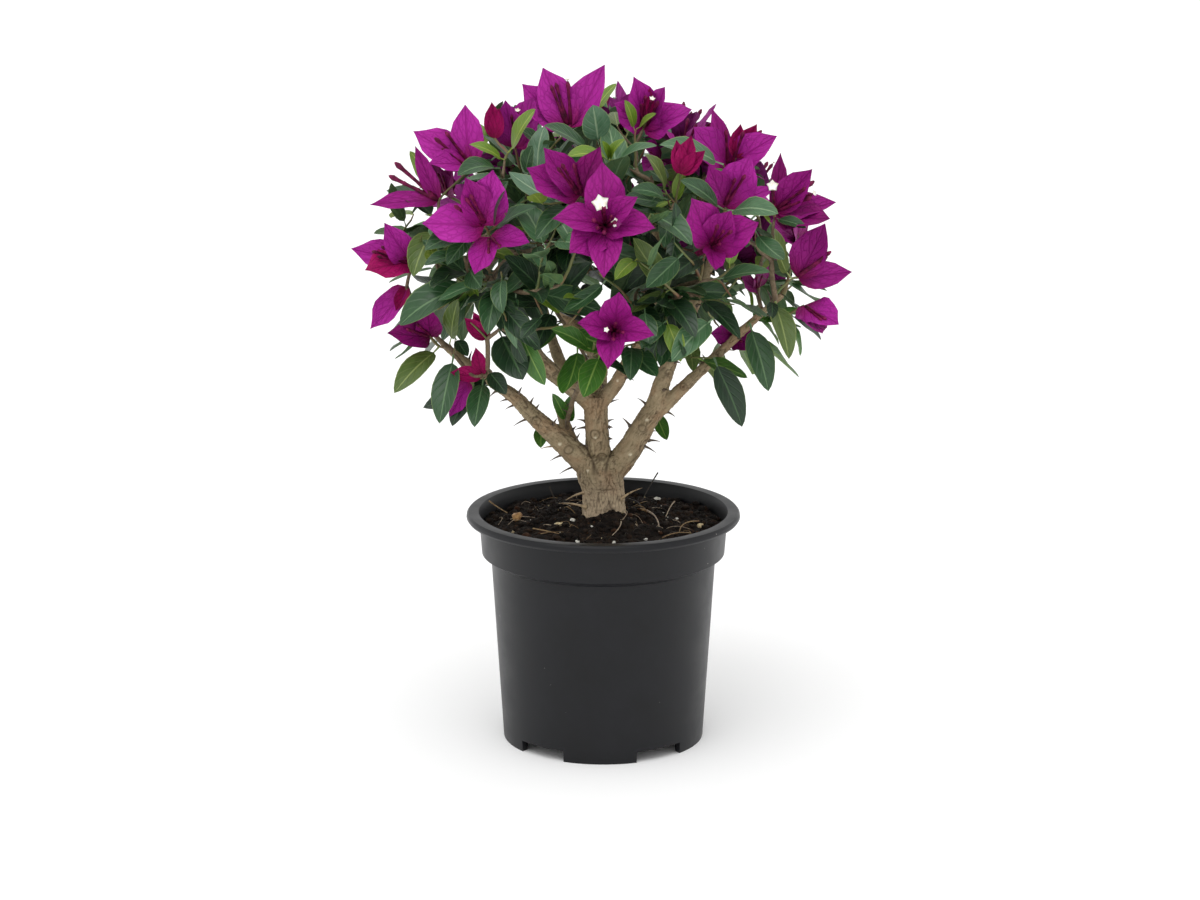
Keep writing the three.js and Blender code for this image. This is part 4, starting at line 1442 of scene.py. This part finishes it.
def leaf_material(name, tile, blade, mottle, vein, margin, gloss):
    """A leaf's face in one tile: blade colour with mottling, rib, side veins and margin."""
    made, tree, shader = new_material(name, Roughness=gloss)
    shader.inputs["Specular IOR Level"].default_value = 0.5
    local = tile_place(tree, tile)
    aside, veins = vein_lines(tree, local, 7, 0.3)
    patches = add(tree, "ShaderNodeTexNoise", {"Vector": local, "Scale": 3.5, "Detail": 5.0,
                                               "Roughness": 0.6})
    spread = add(tree, "ShaderNodeMapRange", {"Value": patches.outputs["Fac"], "From Min": 0.35,
                                              "From Max": 0.68})
    base = add(tree, "ShaderNodeMix", {0: spread.outputs["Result"], 6: linear(blade), 7: linear(mottle)},
               data_type="RGBA")
    faint = add(tree, "ShaderNodeMath", {0: veins, 1: 0.15}, operation="MULTIPLY")
    veined = add(tree, "ShaderNodeMix", {0: faint.outputs[0], 6: base.outputs[2], 7: linear(vein)},
                 data_type="RGBA")
    rib = add(tree, "ShaderNodeMapRange", {"Value": aside, "From Min": 0.03, "From Max": 0.1,
                                           "To Min": 0.8, "To Max": 0.0},
              interpolation_type="SMOOTHSTEP")
    ribbed = add(tree, "ShaderNodeMix", {0: rib.outputs["Result"], 6: veined.outputs[2],
                                         7: linear(vein)}, data_type="RGBA")
    rim = add(tree, "ShaderNodeMapRange", {"Value": aside, "From Min": 0.92, "From Max": 0.99,
                                           "To Max": 0.5})
    rimmed = add(tree, "ShaderNodeMix", {0: rim.outputs["Result"], 6: ribbed.outputs[2],
                                         7: linear(margin)}, data_type="RGBA")
    tree.links.new(rimmed.outputs[2], shader.inputs["Base Color"])
    sunk = add(tree, "ShaderNodeMath", {0: veins, 1: rib.outputs["Result"]}, operation="MAXIMUM")
    relief = add(tree, "ShaderNodeBump", {"Height": sunk.outputs[0], "Strength": 0.45,
                                          "Distance": 0.5 * MM}, invert=True)
    tree.links.new(relief.outputs["Normal"], shader.inputs["Normal"])
    return made


# Tint: blade, mottle, vein and margin of the upper face, its roughness, then the underside's blade.
# light and grey paint the sheen of leaves in the light, bright paints light shining through a leaf, and
# dark and deep are painted shade over the darker colour of old leaves.
LEAF_TINTS = {
    "light": ("#4a7049", "#385c3b", "#86a37a", "#a3b56a", 0.38, "#5f7a4c"),
    "mid": ("#2c512c", "#1f4122", "#64845a", "#8aa258", 0.36, "#56713f"),
    "dark": ("#18361c", "#112914", "#46663f", "#64803f", 0.38, "#425b31"),
    "deep": ("#102512", "#0b1c0d", "#33502f", "#4c6634", 0.42, "#34482a"),
    "bright": ("#3f7020", "#2f5c1b", "#85a850", "#a0b858", 0.42, "#6a8a36"),
    "olive": ("#52682a", "#43591f", "#8d9c58", "#a8b063", 0.45, "#75883f"),
    "young": ("#6c8a22", "#587a1e", "#a6b550", "#b5bd5c", 0.42, "#8a9a3c"),
    "grey": ("#5a7c60", "#466a4d", "#93ab89", "#a9ba80", 0.35, "#6a8058"),
}
tint_tile = {tint: number for number, tint in enumerate(LEAF_TINTS)}
leaf_materials = []
for tint, (blade, mottle, vein, margin, gloss, under) in LEAF_TINTS.items():
    name = "leaf_waxed_" + tint
    leaf_materials.append(leaf_material(name, tint_tile[tint], blade, mottle, vein, margin, gloss))
for tint, (blade, mottle, vein, margin, gloss, under) in LEAF_TINTS.items():
    tile = tint_tile[tint] + len(LEAF_TINTS)
    leaf_materials.append(leaf_material("leaf_underside_" + tint, tile, under, blade, vein, margin, 0.6))
print(len(leaf_materials), "leaf materials")

# %% Leaf shapes
# Width, fold, curl, wave and twist of each shape.
LEAF_SHAPES = [
    (0.42, 0.30, 0.45, 0.014, 0.10),
    (0.46, 0.22, 0.80, 0.022, 0.25),
    (0.38, 0.38, 0.60, 0.012, -0.30),
    (0.53, 0.18, 0.35, 0.024, 0.12),
    (0.44, 0.42, 1.10, 0.016, -0.15),
    (0.42, 0.26, -0.35, 0.020, 0.20),
    (0.49, 0.24, 0.25, 0.028, -0.20),
    (0.62, 0.14, 0.30, 0.030, 0.10),
    (0.80, 0.12, 0.30, 0.020, 0.00),
]
LEAF_STALK = 0.13
leaf_shapes = {}
for tint, tile in tint_tile.items():
    for number, shape in enumerate(LEAF_SHAPES):
        tiles = (tile, tile + len(LEAF_TINTS))
        made = blade_mesh("leaf", leaf_outline, shape, tiles, leaf_materials, LEAF_STALK)
        leaf_shapes[tint, number] = made
print("a leaf has", len(leaf_shapes["mid", 0].polygons), "faces")

# %% [markdown]
# ### Bract surfaces
# The colour of a bougainvillea is in its bracts, papery leaves round the real flowers. They have a
# net of slightly darker veins, are deeper towards the base, and are matt with a faint silky sheen.
# Opening bracts are crimson. The outside is a little duller.


# %% Bract materials
def bract_material(name, tile, face, deep, vein, roughness):
    """A bract's face in one tile: colour that deepens to the base, main veins and a net between."""
    made, tree, shader = new_material(name, Roughness=roughness)
    shader.inputs["Specular IOR Level"].default_value = 0.16
    local = tile_place(tree, tile)
    aside, veins = vein_lines(tree, local, 5, 0.42)
    parts = add(tree, "ShaderNodeSeparateXYZ", {"Vector": local})
    cloud = add(tree, "ShaderNodeTexNoise", {"Vector": local, "Scale": 2.5, "Detail": 4.0})
    lowered = add(tree, "ShaderNodeMath", {0: cloud.outputs["Fac"], 1: 0.5, 2: parts.outputs["Y"]},
                  operation="MULTIPLY_ADD")
    base = add(tree, "ShaderNodeMapRange", {"Value": lowered.outputs[0], "From Min": 0.22,
                                            "From Max": 0.75, "To Min": 1.0, "To Max": 0.0},
               interpolation_type="SMOOTHSTEP")
    face_colour = add(tree, "ShaderNodeMix", {0: base.outputs["Result"], 6: linear(face),
                                              7: linear(deep)}, data_type="RGBA")
    net = add(tree, "ShaderNodeTexVoronoi", {"Vector": local, "Scale": 9.0}, feature="DISTANCE_TO_EDGE")
    thread = add(tree, "ShaderNodeMapRange", {"Value": net.outputs["Distance"], "From Max": 0.07,
                                              "To Min": 0.5, "To Max": 0.0})
    rib = add(tree, "ShaderNodeMapRange", {"Value": aside, "From Min": 0.02, "From Max": 0.09,
                                           "To Min": 0.9, "To Max": 0.0},
              interpolation_type="SMOOTHSTEP")
    main = add(tree, "ShaderNodeMath", {0: veins, 1: 0.6}, operation="MULTIPLY")
    lines = add(tree, "ShaderNodeMath", {0: main.outputs[0], 1: thread.outputs["Result"]},
                operation="MAXIMUM")
    all_lines = add(tree, "ShaderNodeMath", {0: lines.outputs[0], 1: rib.outputs["Result"]},
                    operation="MAXIMUM")
    faint = add(tree, "ShaderNodeMath", {0: all_lines.outputs[0], 1: 0.7}, operation="MULTIPLY")
    colour = add(tree, "ShaderNodeMix", {0: faint.outputs[0], 6: face_colour.outputs[2],
                                         7: linear(vein)}, data_type="RGBA")
    tree.links.new(colour.outputs[2], shader.inputs["Base Color"])
    relief = add(tree, "ShaderNodeBump", {"Height": all_lines.outputs[0], "Strength": 0.7,
                                          "Distance": 0.8 * MM}, invert=True)
    tree.links.new(relief.outputs["Normal"], shader.inputs["Normal"])
    return made


# Tint: face, base and vein colour of the inside, then the outside's face.
# lit is the mid magenta with painted light and deep the same with painted shade; crimson is the colour of
# opening bracts.
BRACT_TINTS = {
    "lit": ("#b0289a", "#860c50", "#8c0f72", "#a93a98"),
    "mid": ("#9c1c82", "#730a43", "#740a5c", "#982f86"),
    "deep": ("#851068", "#5e0636", "#5c0646", "#7f2068"),
    "crimson": ("#a81260", "#7c083c", "#7a0844", "#9a1e60"),
}
bract_tile = {tint: number for number, tint in enumerate(BRACT_TINTS)}
bract_materials = []
for tint, (face, deep, vein, outside) in BRACT_TINTS.items():
    name = "bract_papery_" + tint
    bract_materials.append(bract_material(name, bract_tile[tint], face, deep, vein, 0.5))
for tint, (face, deep, vein, outside) in BRACT_TINTS.items():
    tile = bract_tile[tint] + len(BRACT_TINTS)
    bract_materials.append(bract_material("bract_outside_" + tint, tile, outside, deep, vein, 0.62))

# Width, fold, curl, wave and twist of each shape. A bud's follows them, and then the narrow one.
BRACT_SHAPES = [
    (0.58, 0.34, 0.35, 0.050, 0.05),
    (0.62, 0.24, -0.40, 0.070, -0.12),
    (0.53, 0.46, 0.60, 0.045, 0.15),
    (0.66, 0.20, 0.20, 0.075, 0.10),
    (0.51, 0.54, -0.25, 0.055, -0.05),
]
BUD_SHAPE = (0.50, 0.70, -0.50, 0.020, 0.00)
NARROW_SHAPE = (0.30, 0.50, 0.35, 0.030, 0.10)
bract_shapes = {}
for tint, tile in bract_tile.items():
    tiles = (tile, tile + len(BRACT_TINTS))
    for number, shape in enumerate(BRACT_SHAPES + [BUD_SHAPE, NARROW_SHAPE]):
        made = blade_mesh("bract", bract_outline, shape, tiles, bract_materials, 0)
        bract_shapes[tint, number] = made
print(len(bract_materials), "bract materials")

# %% [markdown]
# ### The true flowers
# Inside each group of three bracts stand three slender tubes, maroon and downy, with a waist.
# Most are still shut; a few have opened into a small cream star. A tube is a spun profile with few
# sides, and a star is a shallow cone whose rim is drawn in between its five points.

# %% Flower parts
# Radius and height of a tube that is 1 long.
TUBE_PROFILE = [
    (0, 0), (0.042, 0.02), (0.05, 0.22), (0.03, 0.5),
    (0.038, 0.8), (0.055, 0.91), (0.025, 0.98), (0, 1),
]
TUBE_SIDES = 7
STAR_POINTS = 5
tube_maroon, tree, shader = new_material("flower_tube_maroon_velvet", Roughness=0.55)
shader.inputs["Specular IOR Level"].default_value = 0.2
place = add(tree, "ShaderNodeTexCoord").outputs["Object"]
flush = add(tree, "ShaderNodeTexNoise", {"Vector": place, "Scale": 1 / (4 * MM), "Detail": 3.0})
shade = add(tree, "ShaderNodeValToRGB", {"Fac": flush.outputs["Fac"]},
            stops=[(0.3, "#3c0520"), (0.5, "#620a38"), (0.7, "#841a50")])
tree.links.new(shade.outputs["Color"], shader.inputs["Base Color"])
star_cream, tree, shader = new_material("flower_star_cream", Roughness=0.55)
place = add(tree, "ShaderNodeTexCoord").outputs["Object"]
flush = add(tree, "ShaderNodeTexNoise", {"Vector": place, "Scale": 1 / (3 * MM), "Detail": 3.0})
shade = add(tree, "ShaderNodeValToRGB", {"Fac": flush.outputs["Fac"]},
            stops=[(0.3, "#efe4c4"), (0.48, "#fbf8ee"), (0.7, "#ffffff")])
tree.links.new(shade.outputs["Color"], shader.inputs["Base Color"])
flower_materials = [tube_maroon, star_cream]

tube_shape = spun("tube", [(r / MM, z / MM) for r, z in TUBE_PROFILE], TUBE_SIDES)
for face in tube_shape.polygons:
    face.use_smooth = True
bm = bmesh.new()
made = bmesh.ops.create_cone(bm, cap_ends=True, segments=2 * STAR_POINTS, radius1=0.12, radius2=0.5,
                             depth=0.3)["verts"]
rim = sorted((v for v in made if v.co.z > 0), key=lambda v: math.atan2(v.co.y, v.co.x))
for vertex in rim[1::2]:
    vertex.co = Vector((vertex.co.x * 0.7, vertex.co.y * 0.7, vertex.co.z * 0.4))
top = [face for face in bm.faces if len(face.verts) == len(rim) and face.calc_center_median().z > 0]
bmesh.ops.inset_region(bm, faces=top, thickness=0.18, depth=-0.12)
for face in bm.faces:
    face.material_index = 1
    face.smooth = True
star_shape = bpy.data.meshes.new("star")
bm.to_mesh(star_shape)
bm.free()
for shape in (tube_shape, star_shape):
    for made in flower_materials:
        shape.materials.append(made)
print("a tube has", len(tube_shape.polygons), "faces and a star", len(star_shape.polygons))

# %% [markdown]
# ## Put the flowers together
# Each head has its own axis. Listed bracts point to their tips as seen from the front, and how far
# they lean towards the viewer follows from their true length. In the seeded heads three bracts
# stand round the axis, a third of a turn apart.

# %% Flower heads
BRACT_LENGTH = 42
MOST_LEAN = 24
BUD_LENGTH = 28
BUD_LEAN = 8
LONGEST_TUBE = 30
TUBE_SHARE = 0.68
STAR_CHANCE = 0.16
head_rng = random.Random(31)
bract_copies = []
flower_copies = []
bract_shields = []


def add_tube(base, direction, length):
    """A flower tube from base in a direction, length in mm."""
    turn = direction.to_track_quat("Z", "Y").to_matrix().to_4x4()
    placed = Matrix.Translation(base * MM) @ turn @ Matrix.Scale(length * MM, 4)
    flower_copies.append((tube_shape, placed))


def add_star(place, direction, width):
    """An open flower's star, facing a direction, width in mm."""
    turn = direction.to_track_quat("Z", "Y").to_matrix().to_4x4()
    spin = Matrix.Rotation(head_rng.uniform(0, 6), 4, "Z")
    placed = Matrix.Translation(place * MM) @ turn @ spin @ Matrix.Scale(width * MM, 4)
    flower_copies.append((star_shape, placed))


def add_head(base, bracts, axis, facing):
    """A flower head. A bract is its reach, tint and perhaps shape; axis is the way the head points."""
    for reach, tint, *own in bracts:
        closed = tint == "crimson" and reach.length < BUD_LENGTH + 2
        number = own[0] if own else head_rng.randrange(len(BRACT_SHAPES))
        if closed:
            number = len(BRACT_SHAPES)
        sway = Vector([head_rng.gauss(0, 0.12) for _ in range(3)])
        placed = blade_matrix(base, reach, facing + sway)
        bract_copies.append((bract_shapes[tint, number], placed))
        if not closed and not own:
            lean = (reach.normalized() * 0.24 + axis * 0.8).normalized()
            start = base + reach * 0.05
            length = min(LONGEST_TUBE, reach.length * TUBE_SHARE)
            add_tube(start, lean, length)
            if head_rng.random() < STAR_CHANCE:
                add_star(start + lean * (length + 0.8), lean, head_rng.uniform(3, 5))


def seen_reach(across, up, length=BRACT_LENGTH, most=MOST_LEAN):
    """The true reach of a blade from how it is seen: what is missing in length leans to the viewer."""
    missing = max(0.0, length ** 2 - across ** 2 - up ** 2)
    return ACROSS * across + UP_VIEW * up + TO_VIEWER * min(most, math.sqrt(missing))


for base, tint, seen in HEADS:
    base = Vector(base)
    outward = (base - CROWN_MIDDLE).normalized()
    bracts = []
    for across, up, *own in seen:
        own_tint = own[0] if own else tint
        if own_tint == "tube":
            reach = seen_reach(across, up, BUD_LENGTH, BUD_LEAN)
            add_tube(base, reach.normalized(), reach.length)
            continue
        if len(own) > 1 or own_tint == "crimson" and math.hypot(across, up) < BUD_LENGTH:
            bracts.append((seen_reach(across, up, BUD_LENGTH, BUD_LEAN), own_tint, *own[1:]))
        else:
            bracts.append((seen_reach(across, up), own_tint))
    mean = sum((reach.normalized() for reach, *_ in bracts), Vector()) / len(bracts)
    axis = (mean * 1.3 + TO_VIEWER * 0.35 + outward * 0.25).normalized()
    facing = (TO_VIEWER * 0.85 + Vector((0, 0, 0.25)) + outward * 0.2).normalized()
    add_head(base, bracts, axis, facing)
    bract_shields += [base + reach * 0.5 for reach, *_ in bracts] + [base]
for kind, index, origin, own in shoots:
    if kind != "head":
        continue
    base = node_place[own[-1]]
    outward = (base - CROWN_MIDDLE).normalized()
    axis = (outward + Vector((0, 0, 0.45)) + node_heading[own[-1]] * 0.3).normalized()
    # Seeded heads take mid, lit and deep tints; lit is painted light and deep painted shade.
    tint = head_rng.choices(("lit", "mid", "deep"), (3, 5, 1))[0]
    for twin in range(head_rng.choice((1, 1, 2))):
        if twin:
            sway = Vector((head_rng.gauss(0, 0.6), head_rng.gauss(0, 0.6), head_rng.gauss(0, 0.4)))
            axis = (axis + sway).normalized()
        side = axis.orthogonal().normalized()
        side.rotate(Matrix.Rotation(head_rng.uniform(*ANY_TURN), 3, axis))
        spread = head_rng.uniform(0.75, 1.3)
        bracts = []
        for number in range(3):
            around = side.copy()
            around.rotate(Matrix.Rotation(number * 2 * math.pi / 3 + head_rng.gauss(0, 0.15), 3, axis))
            reach = (axis * math.cos(spread) + around * math.sin(spread)) * head_rng.uniform(33, 44)
            bracts.append((reach, tint))
        add_head(base, bracts, axis, axis)
for place, width in OPEN_FLOWERS:
    place = Vector(place)
    add_star(place, (TO_VIEWER + Vector((0, 0, 0.25))).normalized(), width)
    nearest = min((Vector(base) for base, _, _ in HEADS), key=lambda base: (base - place).length)
    add_tube(nearest, (place - nearest).normalized(), (place - nearest).length * 0.9)
print(len(bract_copies), "bracts and", len(flower_copies), "tubes and stars")

# %% [markdown]
# ## Leaves on their shoots
# Leaves stand alternately, each turned 137.5 degrees from the last, smaller towards the tip. Each
# reaches outwards and turns its face to the light; low ones hang. Seeded leaves keep clear of the
# listed flowers, stay inside the dome and leave the middle boughs bare.

# %% Leaf copies
LEAF_LENGTH = 50
LEAF_SPACING = 7.5
LEAFY_LENGTH = {"leafy": 62, "inner": 60, "head": 38, "hand head": 44, "hand leaf": 60}
FIRST_LEAF = {"leafy": 2, "inner": 2, "head": 7, "hand head": 7, "hand leaf": 9}
# A listed leaf counts as small when it is seen shorter than this. Length and most lean in mm.
SMALL_SEEN = 26
SMALL_LEAF = (34, 14)
FULL_LEAF = (50, 26)
# Room in mm that seeded leaves leave round listed bracts and leaves.
BRACT_ROOM = 14
LEAF_ROOM = 7
OLIVE_SHARE = 0.08
YOUNG_SHARE = 0.35
OTHER_TINT_SHARE = 0.2
leaf_rng = random.Random(47)
leaf_copies = []
leaf_shields = []


def add_leaf(base, reach, facing, tint, number=None):
    """One leaf from base along reach in mm, in a shape of its own or else a seeded one."""
    if number is None:
        number = leaf_rng.randrange(BROAD)
    leaf_copies.append((leaf_shapes[tint, number], blade_matrix(base, reach, facing)))


for tint, base, (across, up), *own in FRONT_LEAVES:
    small = math.hypot(across, up) < SMALL_SEEN
    reach = seen_reach(across, up, *(SMALL_LEAF if small else FULL_LEAF))
    outward = (Vector(base) - CROWN_MIDDLE).normalized()
    facing = TO_VIEWER * 0.75 + Vector((0, 0, 0.7)) + outward * 0.2
    number = own[0] if own else None
    if up < -30 and number is None:
        number = leaf_rng.choice(SLENDER)
    add_leaf(Vector(base), reach, facing, tint, number)
    leaf_shields.append(Vector(base) + reach * 0.6)

box_low = Vector(cad_box[0]) / MM
box_high = Vector(cad_box[1]) / MM


def leaf_fits(base, reach):
    """Whether a seeded leaf stays in the dome and off the front's own flowers and leaves."""
    tip = base + reach
    if any(tip[i] < box_low[i] or tip[i] > box_high[i] for i in range(3)):
        return False
    if tip.z < lowest_leaf(tip):
        return False
    for share in (0.25, 0.6, 0.95):
        place = base + reach * share
        for shield in bract_shields:
            aside, nearer = seen_offset(place, shield)
            if aside < BRACT_ROOM and nearer > -3:
                return False
        for shield in leaf_shields:
            aside, nearer = seen_offset(place, shield)
            if aside < LEAF_ROOM and nearer > 0:
                return False
    return True


refused = 0
for kind, index, origin, own in shoots:
    mean_height = node_place[own[-1]].z
    # High shoots mostly get light and grey, a painted sheen; low ones dark and bright, painted shade and
    # painted light through the leaf; inner ones deep and dark, painted shade.
    if kind == "inner":
        palette = ("deep", "dark", "dark", "mid")
    elif mean_height > 390:
        palette = ("light", "mid", "light", "grey")
    elif mean_height > 320:
        palette = ("mid", "dark", "mid", "light")
    else:
        palette = ("dark", "mid", "dark", "bright")
    tint = leaf_rng.choice(palette)
    if leaf_rng.random() < OLIVE_SHARE:
        tint = "olive"
    back = 0.0
    next_leaf = FIRST_LEAF[kind]
    turn = leaf_rng.uniform(*ANY_TURN)
    below = node_place[own[-1]]
    for number in reversed(own):
        back += (node_place[number] - below).length
        below = node_place[number]
        if back > LEAFY_LENGTH[kind]:
            break
        while next_leaf <= back + LEAF_SPACING * 0.5:
            next_leaf += leaf_rng.uniform(0.8, 1.25) * LEAF_SPACING
            turn += GOLDEN_ANGLE
            heading = node_heading[number]
            side = heading.orthogonal().normalized()
            side.rotate(Matrix.Rotation(turn, 3, heading))
            outward = (below - CROWN_MIDDLE).normalized()
            low = ramp(-below.z, -400, -290)
            size = LEAF_LENGTH * (0.55 + 0.45 * ramp(back, 0, 26)) * leaf_rng.uniform(0.82, 1.12)
            way = side * 0.85 + heading * 0.45 + outward * 0.35 - Vector((0, 0, 0.1 + 0.75 * low))
            reach = way.normalized() * size
            facing = Vector((0, 0, 0.8)) + outward * 0.55
            sway = (leaf_rng.gauss(0, 0.22), leaf_rng.gauss(0, 0.22), leaf_rng.gauss(0, 0.15))
            facing += Vector(sway)
            if not leaf_fits(below, reach):
                refused += 1
                continue
            own_tint = tint
            if kind != "inner" and back < 6 and leaf_rng.random() < YOUNG_SHARE:
                own_tint = "young"
            elif leaf_rng.random() < OTHER_TINT_SHARE:
                own_tint = leaf_rng.choice(palette)
            add_leaf(below, reach, facing, own_tint)
print(len(leaf_copies), "leaves,", refused, "left out")

# %% The leaf, bract and flower pieces
MASSES = [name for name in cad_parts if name.startswith("foliage_")]
UPPER_MASSES = [name for name in MASSES if "top" in name or "upper" in name]
LOWER_MASSES = [name for name in MASSES if name not in UPPER_MASSES]
leaf_copies.sort(key=lambda copy: copy[1].translation.z)
half = len(leaf_copies) // 2
lower_leaves = joined("leaves_lower", leaf_copies[:half])
upper_leaves = joined("leaves_upper", leaf_copies[half:])
add_piece("leaves_lower", lower_leaves, leaf_materials, "foliage", *LOWER_MASSES)
add_piece("leaves_upper", upper_leaves, leaf_materials, "foliage", *UPPER_MASSES)
add_piece("bracts", joined("bracts", bract_copies), bract_materials, "foliage")
add_piece("flowers", joined("flowers", flower_copies), flower_materials, "foliage")
